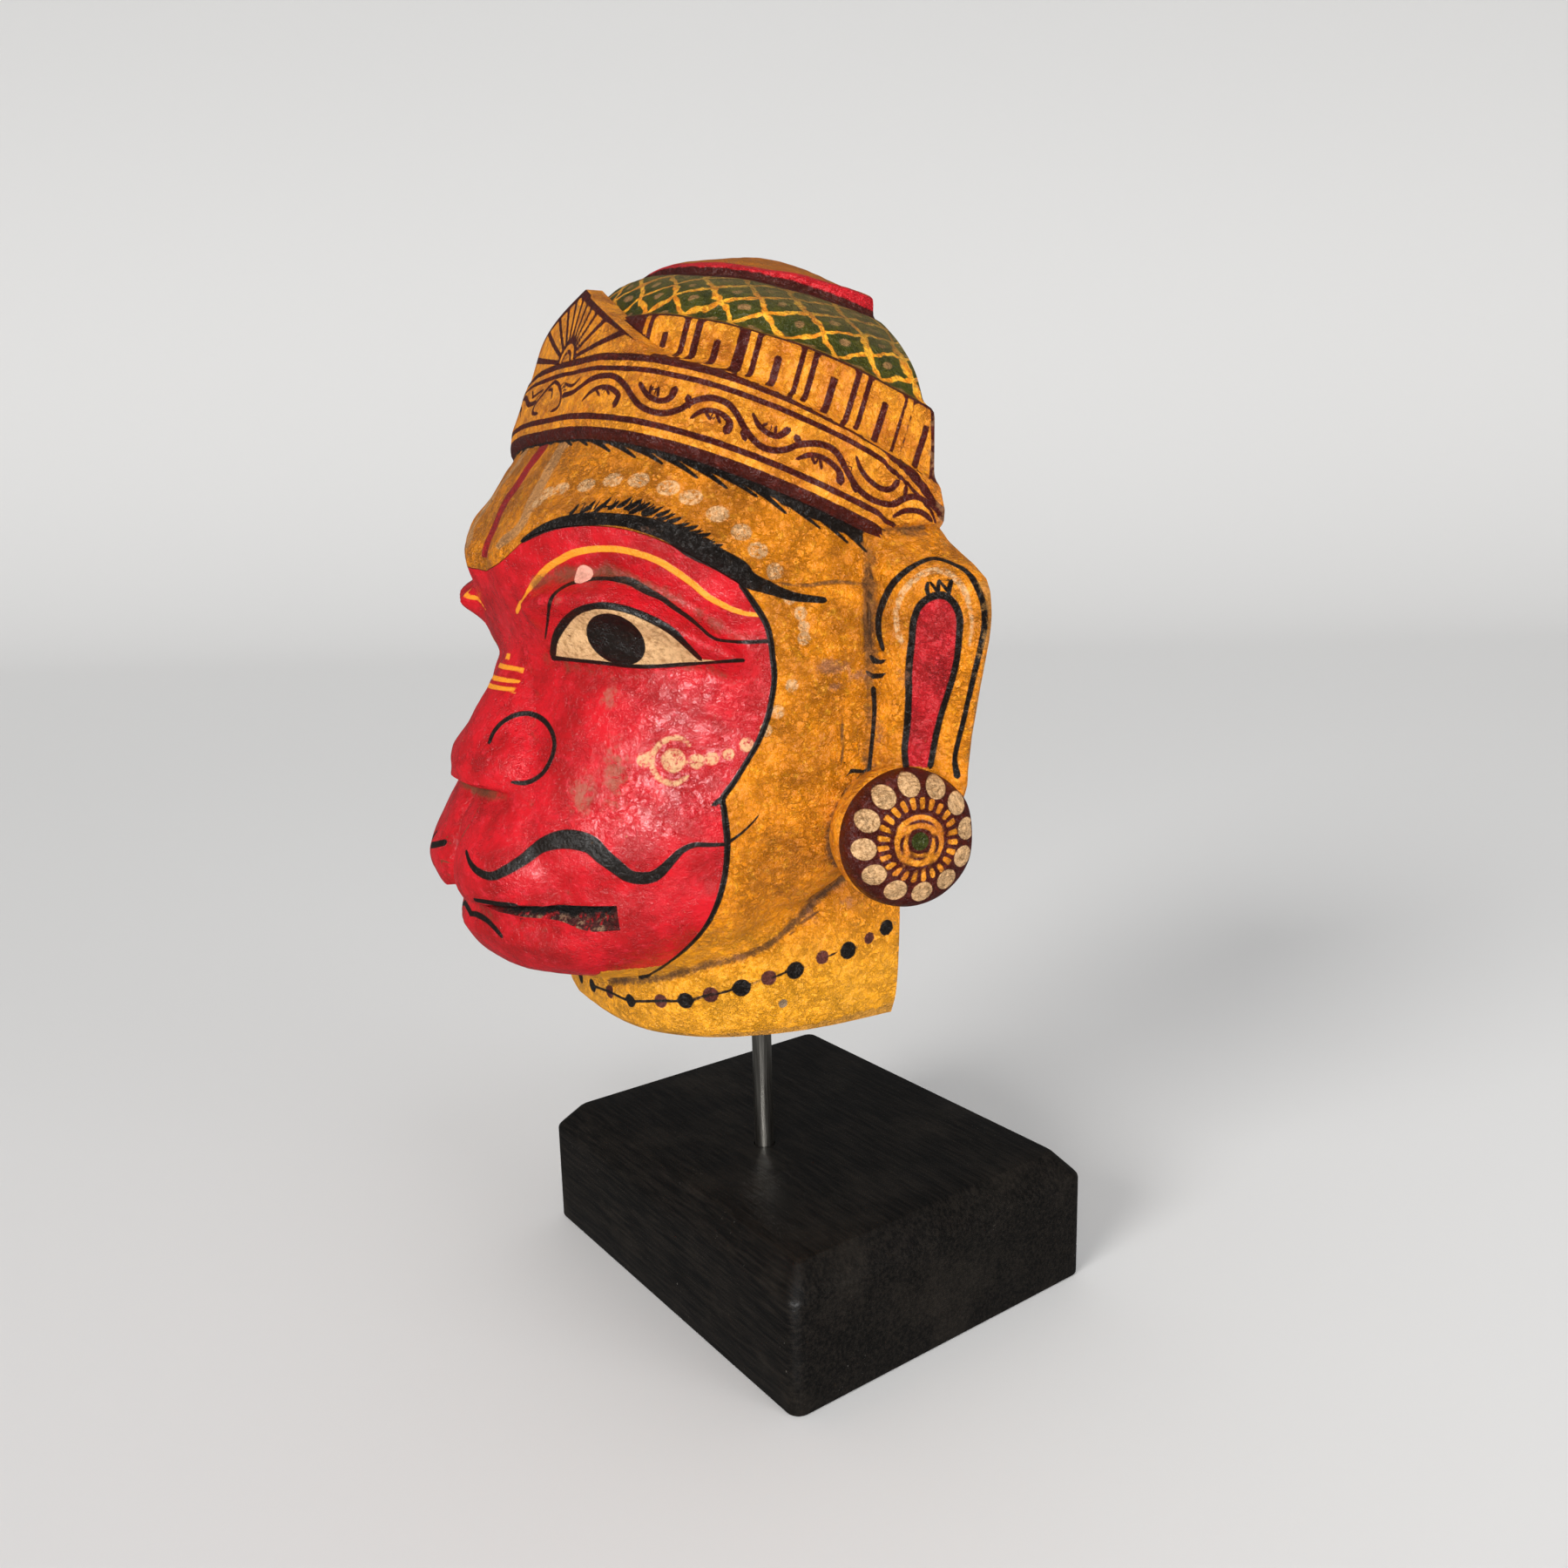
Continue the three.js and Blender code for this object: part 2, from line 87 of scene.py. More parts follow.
# Free space round the rod in its holes
CLEARANCE = 0.3
ROD_END_RADIUS = 2.6
ROD_END_BEVEL = 0.4
HEAD_TURN = math.radians(-6)

# Head: each station is one carved outline, a half superellipse that leans back: height at the
# front, height at the back, y of the front, half width at the back, roundness
NECK_UNDERSIDE = 97
BACK_Y = 13.3
STATIONS = {
    "face": [
        (NECK_UNDERSIDE, NECK_UNDERSIDE, -52.5, 50.5, 2.6),
        (99.5, 104, -55, 53, 2.6),
        (103, 124, -55.5, 54.8, 2.6),
        (108.6, 149.5, -56, 55.4, 2.6),
        (110.8, 152.5, -61, 59, 2.3),
        (113.2, 154, -70, 61.8, 2.2),
        (118, 156, -81.5, 64, 2.15),
        (127, 158.5, -88, 66.5, 2.1),
        (136.5, 161, -90.5, 67.5, 2.05),
        (144, 163, -91.5, 68.5, 2.1),
        (155, 165.5, -89.5, 69, 2.15),
        (164, 169, -84.5, 69.5, 2.15),
        (180, 180, -75.5, 70.5, 2.2),
        (197, 191, -71, 71, 2.3),
        (219, 203.5, -76.5, 71.5, 2.25),
        (233, 209.5, -72.5, 71, 2.4),
        (252, 218.3, -58.5, 69.5, 2.75),
    ],
    "band": [(252, 218.3, -60.3, 71.4, 2.8), (257, 222, -59.6, 72, 2.75), (272.6, 238, -52.8, 72.6, 2.7)],
    "petals": [(273, 238.7, -49, 70.4, 2.6), (281.6, 256.3, -46, 70.6, 2.5)],
    "dome": [
        (281.6, 256.6, -42.5, 66.6, 2.4),
        (286, 264.5, -40.5, 63.2, 2.35),
        (290, 272, -36.5, 57, 2.2),
        (293, 279, -33, 48.2, 2.1),
    ],
    "cap": [
        (293.2, 279.2, -27, 44.8, 2),
        (295.2, 284, -27, 45.2, 2),
        (298, 288.6, -20.5, 34.5, 2),
        (300.8, 296.5, -2, 14, 2),
    ],
}
ZONES = ["face", "band", "petals", "dome", "cap", "crest", "earring", "mouth", "bare"]
MOUTH_STATION = 8
ROW_SPACING = 0.88
COLUMN_SPACING = 0.88
REFERENCE_OUTLINE = (164, 167, -82, 69.5, 2.1)
BACK_COLUMNS = 11
# How much the rows beside a step between two tiers are evened out
STEP_SOFTENING = 0.5
# The carver's hand: depth in mm, and waves of (length in mm, weight)
HAND_DEPTH = 0.27
HAND_WAVES = [(28, 0.5), (17, 0.35), (11, 0.28), (7, 0.2), (5, 0.14), (3.4, 0.09)]
WAVES_PER_LENGTH = 5
HAND_SCALE = 2.2

# Carving on the face is placed by the angle round an upright axis, in degrees from the middle,
# and by height, and it moves the surface towards or away from that axis
FACE_AXIS_Y = -10
BROW = [(8, 224), (25, 230.5), (40, 231.5), (57, 227), (69, 218)]
LID_FOLD = [(22, 216.5), (30, 218.5), (40, 219.3), (52, 213.5), (66, 203)]
EYELID = [(21, 211), (26, 213), (33, 213.8), (40, 213.3), (53, 208), (64, 200)]
EYE = (40, 204, 23, 12)
UNDER_EYE = [(18, 197), (40, 195.5), (62, 197)]
LIP_LOBE = (15, 143, 18, 15)
LIP_VALLEY = [(22, 163), (25, 152), (31, 141)]
PHILTRUM = [(0, 139), (0, 163)]
JAW_HOLLOW = (76, 148, 16, 26)
CHEEK = (33, 178, 24, 20)
# How far each form stands out in mm, its line or round spot, and half the width of a line
FACE_FORMS = [
    (2.8, BROW, 6),
    (-2.6, LID_FOLD, 3.2),
    (5.4, EYELID, 4.2),
    (1.6, EYE, None),
    (-1.2, UNDER_EYE, 3),
    (1.5, CHEEK, None),
    (3.6, LIP_LOBE, None),
    (-0.8, LIP_VALLEY, 3),
    (-1.6, PHILTRUM, 1.3),
    (-1, PHILTRUM, 4.5),
    (-3, JAW_HOLLOW, None),
]
LOWER_LIP_SETBACK = 3.6
LOWER_LIP_FOOT = (126, 133.5)
LOWER_LIP_SIDE = (22, 36)
NOSE_TOP = 202
NOSE_TIP = 171
NOSE_UNDERSIDE = 165.5
NOSE_HALF_WIDTH_TOP = 9
NOSE_HALF_WIDTH_WING = 25
NOSE_HEIGHTS = [163, 166.4, 170.4, 173.8, 177, 184, 187, 191, 196, 202]
NOSE_REACH = [4.6, 5.4, 7.7, 8.5, 8.6, 7.2, 6.3, 4.9, 2.2, 0]
NOSE_WING = (13, 174, 9, 8)
NOSE_WING_REACH = 1.6
NOSE_ROUNDNESS = 1.2
NOSE_LEDGE = 0.8
MOUTH_ANGLES = [0, 3, 7, 11, 16, 25, 31, 40]
MOUTH_TOPS = [138.3, 137.6, 136.5, 136.7, 137.8, 138.8, 139, 139.4]
MOUTH_CORNER_ANGLE = 40
MOUTH_DEPTH = 6
MOUTH_OPEN_MIDDLE = 0.8
MOUTH_OPEN_CORNER = 7.4
MOUTH_INNER_GAP = 1.5
# Shares of the way to the corner between which the opening widens
MOUTH_WIDENING = (0.1, 0.62)
MOUTH_COLUMNS = 97
MOUTH_ROWS = 15

EAR_FRONT_Y = -6
ROOT_TOP = 229
ROOT_START_Y = -5
ROOT_EDGE_Y = [-4, -1.5, 3]
ROOT_EDGE_Z = [224.9, 228, 229]
BAND_STEP = 1.9
EAR_EDGE = 1.6
EAR_HEIGHTS = [140, 150, 160, 166, 170, 178.5, 191, 201, 208, 213, 216, 219, 222, 225, 228, 232, 236, 240]
EAR_REACH = [0, 7, 14.5, 15.8, 15.6, 16.2, 18.8, 21.2, 22.5, 22.7, 21.8, 18, 12, 6.6, 1.8, 2.2, 0.8, 0]

EARRING_PLACE = (78.7, -0.9, 153.8)
EARRING_TURN = math.radians(76)
EARRING_RADIUS = 17.1
EARRING_BLOCK = 17.7
EARRING_WALL = 2.0
EARRING_DOME = 7.5
EARRING_ROOT = 27
EARRING_ROWS = 23
EARRING_COLUMNS = 132
BEHIND_EARRING = ((-200, BACK_Y, 100), (200, 100, 200))

CREST_NEAR_END = 41
CREST_FAR_END = -39.2
CREST_FAR_RISE = 6.2
CREST_CURVE = 0.9
CREST_APEX = 290.6
CREST_FOOT = 272.4
CREST_THICKNESS = 5.5
CREST_FOOT_Y = -51.8
CREST_APEX_Y = -45
CREST_SINK = (0, 1.5, -2.5)
CREST_COLUMNS = 91
CREST_ROWS = 21

CREASE_DEPTH = 1.5
CREASE_WIDTH = 1.7
CRACK_DEPTH = 0.5
CRACK_WIDTH = 0.9

SEED = 11


# Frames and lines of sight


def camera_axes():
    """Place of the camera in mm, its right, its up and its backward direction."""
    a, e, r = CAMERA_AZIMUTH, CAMERA_ELEVATION, CAMERA_ROLL
    back = np.array([math.sin(a) * math.cos(e), -math.cos(a) * math.cos(e), math.sin(e)])
    level = np.array([math.cos(a), math.sin(a), 0])
    up = np.cross(back, level)
    across = math.cos(r) * level + math.sin(r) * up
    upward = -math.sin(r) * level + math.cos(r) * up
    place = AIM_SIDE * level + np.array([0, 0, AIM_HEIGHT]) + CAMERA_DISTANCE * back
    return place, across, upward, back


HEAD_AXES = np.array(
    [
        [math.cos(HEAD_TURN), -math.sin(HEAD_TURN), 0],
        [math.sin(HEAD_TURN), math.cos(HEAD_TURN), 0],
        [0, 0, 1],
    ]
)
ROD_FOOT = np.array([ROD_X, ROD_Y, 0])
PLACE, ACROSS, UPWARD, BACKWARD = camera_axes()
EYE_POINT = HEAD_AXES.T @ (PLACE - ROD_FOOT)
# Level directions towards the camera and to its right
TOWARD = np.array([math.sin(CAMERA_AZIMUTH), -math.cos(CAMERA_AZIMUTH), 0])
RIGHT = np.array([math.cos(CAMERA_AZIMUTH), math.sin(CAMERA_AZIMUTH), 0])


def to_world(points):
    return points @ HEAD_AXES.T + ROD_FOOT


def to_photo(points):
    """Pixels at which points of the head's frame appear."""
    away = to_world(points) - PLACE
    depth = -(away @ BACKWARD)
    half = PHOTO_SIZE / 2
    return np.stack(
        [half + FOCAL_PIXELS * (away @ ACROSS) / depth, half - FOCAL_PIXELS * (away @ UPWARD) / depth], -1
    )


def sight(pixel):
    """Direction, in the head's frame, in which the camera sees a pixel."""
    half = PHOTO_SIZE / 2
    u, v = (pixel[0] - half) / FOCAL_PIXELS, (pixel[1] - half) / FOCAL_PIXELS
    direction = HEAD_AXES.T @ (-BACKWARD + u * ACROSS - v * UPWARD)
    return direction / np.linalg.norm(direction)


# Shape of the head


def smooth_rows(stations, spacing):
    """Rows of station values on a smooth curve through the stations, about spacing mm apart."""
    table = np.array(stations, float)
    steps = np.diff(table, axis=0)
    before = np.vstack([steps[:1], steps])
    after = np.vstack([steps, steps[-1:]])
    total = np.where(np.abs(before + after) < 1e-9, 1, before + after)
    tangent = np.where(before * after > 0, 2 * before * after / total, 0)

    def at(place):
        i = np.minimum(place.astype(int), len(table) - 2)
        t = (place - i)[:, None]
        return (
            (2 * t**3 - 3 * t**2 + 1) * table[i]
            + (t**3 - 2 * t**2 + t) * tangent[i]
            + (3 * t**2 - 2 * t**3) * table[i + 1]
            + (t**3 - t**2) * tangent[i + 1]
        )

    fine = np.linspace(0, len(table) - 1, 1500)
    walk = np.abs(np.diff(at(fine), axis=0))
    step = 0.6 * np.hypot(walk[:, 0], walk[:, 2]) + 0.4 * np.hypot(walk[:, 1], walk[:, 3])
    length = np.concatenate([[0], np.cumsum(step)])
    count = max(3, round(length[-1] / spacing) + 1)
    even = np.interp(np.linspace(0, length[-1], count), length, fine)
    return at(even)


def outline(rows, angles):
    """Points of the plain outlines of rows at the given angles of a half superellipse."""
    front_z, back_z, front_y, half_width, roundness = [c[:, None] for c in rows.T]
    forward = np.maximum(np.cos(angles), 0)[None, :] ** (2 / roundness)
    x = half_width * np.sin(angles)[None, :] ** (2 / roundness)
    y = BACK_Y - (BACK_Y - front_y) * forward
    z = back_z + (front_z - back_z) * forward
    return np.stack([x, y, z], -1)


def half_angles():
    """Angles that put the columns evenly along an ordinary outline."""
    fine = np.linspace(0, math.pi / 2, 4000)
    line = outline(np.array([REFERENCE_OUTLINE], float), fine)[0]
    length = np.concatenate([[0], np.cumsum(np.linalg.norm(np.diff(line, axis=0), axis=1))])
    count = round(length[-1] / COLUMN_SPACING)
    return np.interp(np.linspace(0, length[-1], count + 1), length, fine)


def smoothstep(value, low, high):
    t = np.clip((value - low) / (high - low), 0, 1)
    return t * t * (3 - 2 * t)


def bump(angle, height, spot):
    """A round bump that fades to nothing at its half sizes."""
    q = ((angle - spot[0]) / spot[2]) ** 2 + ((height - spot[1]) / spot[3]) ** 2
    return np.where(q < 1, (1 - q) ** 2, 0)


def ridge(angle, height, line, width, mm_per_degree):
    """A ridge with a bell-shaped section along a line of (angle, height) points."""
    nearest = np.full(angle.shape, 1e9)
    for (a0, h0), (a1, h1) in zip(line[:-1], line[1:]):
        across, up = (a1 - a0) * mm_per_degree, h1 - h0
        t = ((angle - a0) * mm_per_degree * across + (height - h0) * up) / (across**2 + up**2)
        t = np.clip(t, 0, 1)
        away = np.hypot((angle - a0) * mm_per_degree - t * across, height - h0 - t * up)
        nearest = np.minimum(nearest, away)
    return np.exp(-((nearest / width) ** 2))


def nose_relief(angle, height, mm_per_degree):
    down = np.clip((NOSE_TOP - height) / (NOSE_TOP - NOSE_TIP), 0, 1)
    half_width = NOSE_HALF_WIDTH_TOP + (NOSE_HALF_WIDTH_WING - NOSE_HALF_WIDTH_TOP) * down
    across = np.clip(angle * mm_per_degree / half_width, 0, 1)
    section = (1 - across**2) ** NOSE_ROUNDNESS
    ledge = smoothstep(height, NOSE_UNDERSIDE - NOSE_LEDGE, NOSE_UNDERSIDE + NOSE_LEDGE)
    reach = np.interp(height, NOSE_HEIGHTS, NOSE_REACH)
    return (reach * section + NOSE_WING_REACH * bump(angle, height, NOSE_WING)) * ledge


def lower_lip(angle, height):
    """1 where the lower lip is set back under the upper one."""
    top = np.interp(angle, MOUTH_ANGLES, MOUTH_TOPS)
    rise = smoothstep(height, *LOWER_LIP_FOOT) * (1 - smoothstep(height, top - 0.9, top - 0.1))
    return rise * (1 - smoothstep(angle, *LOWER_LIP_SIDE))


def face_relief(angle, height, mm_per_degree):
    """How far the carving stands out of the plain head, in millimetres."""
    out = 0
    for strength, place, width in FACE_FORMS:
        if width is None:
            out = out + strength * bump(angle, height, place)
        else:
            out = out + strength * ridge(angle, height, place, width, mm_per_degree)
    return out - LOWER_LIP_SETBACK * lower_lip(angle, height) + nose_relief(angle, height, mm_per_degree)


def ear_relief(y, height):
    """How far the ear stands out sideways. Its root runs over the lower edge of the band."""
    back = np.clip((y - EAR_FRONT_Y) / (BACK_Y - EAR_FRONT_Y), 0, 1)
    place = np.clip(np.searchsorted(EAR_HEIGHTS, height) - 1, 0, len(EAR_HEIGHTS) - 2)
    low, high = np.array(EAR_HEIGHTS)[place], np.array(EAR_HEIGHTS)[place + 1]
    reach0, reach1 = np.array(EAR_REACH)[place], np.array(EAR_REACH)[place + 1]
    reach = reach0 + (reach1 - reach0) * np.clip((height - low) / (high - low), 0, 1)
    edge = np.clip((y - BACK_Y + EAR_EDGE) / EAR_EDGE, 0, 1)
    rounded = EAR_EDGE * (1 - np.sqrt(1 - 0.96 * edge**2)) * smoothstep(reach, 2, 8)
    return reach * (0.18 * smoothstep(back, 0, 0.15) + 0.82 * back**0.85) - rounded


def ear_root(y, height):
    """1 where the ear's root covers the lower edge of the band."""
    low = smoothstep(height, ROOT_TOP - 1.2, ROOT_TOP)
    return smoothstep(y, -6, -2) * (1 - low)


def unevenness(points):
    """A smooth random field, about -1 to 1, with waves of 3 to 28 mm: the carver's hand."""
    rng = np.random.default_rng(SEED)
    total = np.zeros(len(points))
    for wavelength, weight in HAND_WAVES:
        for _ in range(WAVES_PER_LENGTH):
            direction = rng.normal(size=3)
            direction /= np.linalg.norm(direction)
            phase = rng.uniform(0, 2 * math.pi)
            wave = np.sin(points @ direction * (2 * math.pi / wavelength) + phase)
            total += weight * wave / HAND_SCALE
    return total


def grid_normals(points):
    """Outward normals of a grid whose columns close round on themselves."""
    up = np.gradient(points, axis=0)
    round_ = np.roll(points, -1, axis=1) - np.roll(points, 1, axis=1)
    normal = np.cross(round_, up)
    return normal / np.maximum(np.linalg.norm(normal, axis=2, keepdims=True), 1e-9)


def make_skin():
    """The carved head without crest and earrings: vertices, faces, zone of each face and, for
    each vertex, its arc from the middle and its climb above the bottom of each zone."""
    angles = half_angles()
    loops = []
    zone_of_row = []
    for zone, stations in STATIONS.items():
        rows = smooth_rows(stations, ROW_SPACING)
        half = outline(rows, angles)
        if zone == "face":
            radius = np.hypot(half[..., 0], half[..., 1] - FACE_AXIS_Y)
            round_ = np.arctan2(half[..., 0], FACE_AXIS_Y - half[..., 1])
            out = face_relief(np.degrees(round_), half[..., 2], radius * math.pi / 180)
            half[..., 1] -= out * np.cos(round_)
            half[..., 0] += out * np.sin(round_)
        half[..., 0] += ear_relief(half[..., 1], half[..., 2])
        if zone == "band":
            half[..., 0] -= BAND_STEP * ear_root(half[..., 1], half[..., 2])
        half[:, -1, 1] = BACK_Y
        half[:, 0, 0] = 0
        loops.append(half)
        zone_of_row += [ZONES.index(zone)] * len(rows)
    half = np.concatenate(loops)
    zone_of_row = np.array(zone_of_row)
    step = np.linalg.norm(np.diff(half, axis=1), axis=2)
    arc = np.concatenate([np.zeros((len(half), 1)), np.cumsum(step, axis=1)], 1)
    climb = np.linalg.norm(np.diff(half, axis=0), axis=2)
    climb = np.concatenate([np.zeros((1, len(angles))), np.cumsum(climb, axis=0)], 0)
    starts = [climb[np.argmax(zone_of_row == ZONES.index(zone))] for zone in STATIONS]
    climbs = np.stack([climb - start for start in starts], -1)
    mirror = slice(None, 0, -1)
    flat = np.zeros((len(half), BACK_COLUMNS, 1 + len(starts)))
    fields = np.concatenate([arc[..., None], climbs], -1)
    left = fields[:, mirror] * np.array([-1] + [1] * len(starts))
    fields = np.concatenate([left, fields, flat], 1)
    share = np.linspace(1, -1, BACK_COLUMNS + 2)[1:-1]
    back = np.repeat(half[:, -1:], BACK_COLUMNS, axis=1)
    back[..., 0] *= share
    points = np.concatenate([half[:, mirror] * np.array([-1, 1, 1]), half, back], 1)
    rows, columns = points.shape[:2]
    carved = columns - BACK_COLUMNS
    # The carver's hand, and steps between the crown's tiers that aren't knife sharp
    shift = HAND_DEPTH * unevenness(points.reshape(-1, 3)).reshape(rows, columns)
    points = points + grid_normals(points) * shift[..., None]
    near_step = np.zeros(rows)
    for i in np.flatnonzero(np.diff(zone_of_row)) + 1:
        near_step[i - 2 : i + 2] = STEP_SOFTENING
    for _ in range(2):
        middle = (np.roll(points, 1, axis=0) + np.roll(points, -1, axis=0)) / 2
        points = points + (middle - points) * near_step[:, None, None]
    points[:, carved - 1 :, 1] = BACK_Y
    points[:, 0, 1] = BACK_Y
    points[0, :, 2] = NECK_UNDERSIDE
    verts, faces = loft(points)
    zones = np.repeat(zone_of_row[1:, None], columns, 1)
    zones[:, carved - 1 :] = ZONES.index("bare")
    ends = [[ZONES.index(zone)] * columns for zone in ("cap", "bare")]
    zones = np.concatenate([zones.ravel(), *ends])
    middle = np.concatenate([[0], fields[-1, :carved, 1:].mean(0) + 15])
    fields = np.vstack([fields.reshape(-1, fields.shape[-1]), middle, np.zeros(len(middle))])
    return verts, faces, zones, fields


def loft(loops):
    """Vertices and faces of a solid through equally long closed loops, closed at both ends."""
    loops = np.array(loops, float)
    rows, columns = loops.shape[:2]
    index = np.arange(rows * columns).reshape(rows, columns)
    after = np.roll(index, -1, 1)
    quads = np.stack([index[:-1], after[:-1], after[1:], index[1:]], -1)
    faces = [tuple(quad) for quad in quads.reshape(-1, 4)]
    verts = np.vstack([loops.reshape(-1, 3), loops[-1].mean(0), loops[0].mean(0)])
    end, start = rows * columns, rows * columns + 1
    faces += [(end, a, b) for a, b in zip(index[-1], after[-1])]
    faces += [(start, b, a) for a, b in zip(index[0], after[0])]
    return verts, faces


def crest_front(x, rise):
    """Point of the crest's front, by its place across and its height above the foot."""
    front_z, back_z, front_y, half_width, roundness = STATIONS["band"][-1]
    forward = (1 - (abs(x) / half_width) ** roundness) ** (1 / roundness)
    foot_y = BACK_Y - (BACK_Y - front_y) * forward
    foot_z = back_z + (front_z - back_z) * forward - 0.5
    lean = (CREST_APEX_Y - CREST_FOOT_Y) * rise / (CREST_APEX - CREST_FOOT)
    return np.array([x, foot_y + lean, foot_z + rise])


def crest_top(x):
    """Height of the crest above its foot: it runs out to nothing on the near side only."""
    high = CREST_APEX - CREST_FOOT
    if x >= 0:
        return 0.6 + (high - 0.6) * (1 - x / CREST_NEAR_END)
    left = max(1 - x / CREST_FAR_END, 0)
    return CREST_FAR_RISE + (high - CREST_FAR_RISE) * left**CREST_CURVE


def make_crest():
    """A triangular plate that follows the round front of the crown, its edges a little worn."""
    loops = []
    for x in np.linspace(CREST_FAR_END, CREST_NEAR_END, CREST_COLUMNS):
        top = crest_top(x)
        top -= 0.5 * (1 - min((x - CREST_FAR_END) / 1.2, 1)) ** 2
        deep = np.array([0, CREST_THICKNESS, 0])
        sunk = crest_front(x, 0) + np.array(CREST_SINK)
        front = [sunk] + [crest_front(x, top * t) for t in np.linspace(0, 1, CREST_ROWS)]
        front[-1] = front[-1] + np.array([0, 0.5, -0.1])
        over = [crest_front(x, top) + deep * t for t in (0.16, 0.4, 0.7, 0.94)]
        behind = [crest_front(x, top * t) + deep + (1 - t) * deep for t in (0.95, 0.5, 0)]
        behind.append(sunk + deep)
        loops.append(front[::-1] + behind[::-1] + over[::-1])
    return loft(loops)


def mouth_radius(angle):
    """Distance from the upright face axis to the plain head at the height of the mouth."""
    _, _, front_y, half_width, _ = STATIONS["face"][MOUTH_STATION]
    depth = BACK_Y - front_y
    offset = BACK_Y - FACE_AXIS_Y
    a = (math.sin(angle) / half_width) ** 2 + (math.cos(angle) / depth) ** 2
    b = 2 * offset * math.cos(angle) / depth**2
    c = (offset / depth) ** 2 - 1
    return (-b + math.sqrt(b * b - 4 * a * c)) / (2 * a)


def make_mouth_cut():
    """The wedge that opens the mouth, thin in the middle and wide at the corners."""
    loops = []
    for share in np.linspace(-1, 1, MOUTH_COLUMNS):
        angle = math.radians(share * MOUTH_CORNER_ANGLE)
        top = float(np.interp(abs(share) * MOUTH_CORNER_ANGLE, MOUTH_ANGLES, MOUTH_TOPS))
        widen = float(smoothstep(abs(share), *MOUTH_WIDENING))
        opening = MOUTH_OPEN_MIDDLE + (MOUTH_OPEN_CORNER - MOUTH_OPEN_MIDDLE) * widen
        gap = min(MOUTH_INNER_GAP, opening)
        inner = mouth_radius(angle) - MOUTH_DEPTH
        outer = inner + 3 * MOUTH_DEPTH
        loop = []
        for t in np.linspace(0, 1, MOUTH_ROWS):
            radius = inner + (outer - inner) * t
            loop.append((radius, top))
        for t in np.linspace(1, 0, MOUTH_ROWS):
            radius = inner + (outer - inner) * t
            loop.append((radius, top - gap - (opening - gap) * 3 * t))
        loops.append([(r * math.sin(angle), FACE_AXIS_Y - r * math.cos(angle), z) for r, z in loop])
    return loft(loops)


def earring_frame(side):
    """Place, outward axis and two directions across an earring."""
    place = np.array(EARRING_PLACE) * np.array([side, 1, 1])
    axis = np.array([side * math.sin(EARRING_TURN), -math.cos(EARRING_TURN), 0])
    upward = np.array([0, 0, 1.0])
    return place, axis, np.cross(upward, axis), upward


def make_earring(side):
    """A domed disc on a block whose root is buried in the head."""
    place, axis, across, upward = earring_frame(side)
    profile = [(EARRING_BLOCK - 4, -EARRING_ROOT), (EARRING_BLOCK, -EARRING_WALL - 4)]
    profile += [(EARRING_BLOCK - 0.1, -EARRING_WALL - 1), (EARRING_BLOCK - 0.6, -EARRING_WALL)]
    profile += [(EARRING_RADIUS + 0.3, -1.2), (EARRING_RADIUS, 0)]
    for i in range(1, EARRING_ROWS):
        angle = i / EARRING_ROWS * math.pi / 2
        profile.append((EARRING_RADIUS * math.cos(angle), EARRING_DOME * math.sin(angle)))
    loops = []
    turns = np.linspace(0, 2 * math.pi, EARRING_COLUMNS, endpoint=False)
    for radius, height in profile:
        ring = place + axis * height
        loops.append(ring + radius * (np.cos(turns)[:, None] * across + np.sin(turns)[:, None] * upward))
    return loft(loops)


# Meshes and booleans


def mesh_object(name, verts, faces, materials):
    mesh = bpy.data.meshes.new(name)
    mesh.from_pydata([tuple(v) for v in verts], [], [tuple(int(i) for i in f) for f in faces])
    for material in materials:
        mesh.materials.append(material)
    made = bpy.data.objects.new(name, mesh)
    bpy.context.scene.collection.objects.link(made)
    return made


def combine(base, other, operation):
    """Joins or cuts base with other, which is used up."""
    modifier = base.modifiers.new("cut", "BOOLEAN")
    modifier.operation = operation
    modifier.solver = "MANIFOLD"
    modifier.object = other
    graph = bpy.context.evaluated_depsgraph_get()
    mesh = bpy.data.meshes.new_from_object(base.evaluated_get(graph))
    base.modifiers.clear()
    old = base.data
    base.data = mesh
    bpy.data.meshes.remove(old)
    bpy.data.objects.remove(other)


def vectors_of(rows, name):
    """The vectors that a mesh's vertices or normals hold under a name."""
    values = np.empty(len(rows) * 3)
    rows.foreach_get(name, values)
    return values.reshape(-1, 3)


def points_of(mesh):
    return vectors_of(mesh.vertices, "co")


def normals_of(mesh):
    return vectors_of(mesh.vertex_normals, "vector")


def nearest_tree(points):
    """A tree that finds the nearest of some points."""
    tree = KDTree(len(points))
    for i, point in enumerate(points):
        tree.insert(point, i)
    tree.balance()
    return tree


def tube(sections, middle=(0, 0), count=32):
    """A solid round an upright axis through (height, radius) sections."""
    turns = np.linspace(0, 2 * math.pi, count, endpoint=False)
    x, y = middle
    return loft([[(x + r * math.cos(a), y + r * math.sin(a), z) for a in turns] for z, r in sections])


def box_solid(low, high):
    sides = list(zip(low, high))
    corners = [(x, y, z) for z in sides[2] for y in sides[1] for x in sides[0]]
    faces = [(0, 2, 3, 1), (4, 5, 7, 6), (0, 1, 5, 4), (2, 6, 7, 3), (0, 4, 6, 2), (1, 3, 7, 5)]
    return corners, faces


# Paint: lines and fields laid on the carved surface

# Photograph pixels to a millimetre on the near side of the head
PIXELS_PER_MM = 4.65
SPLINE_STEP = 3.0
FAR = 9.0
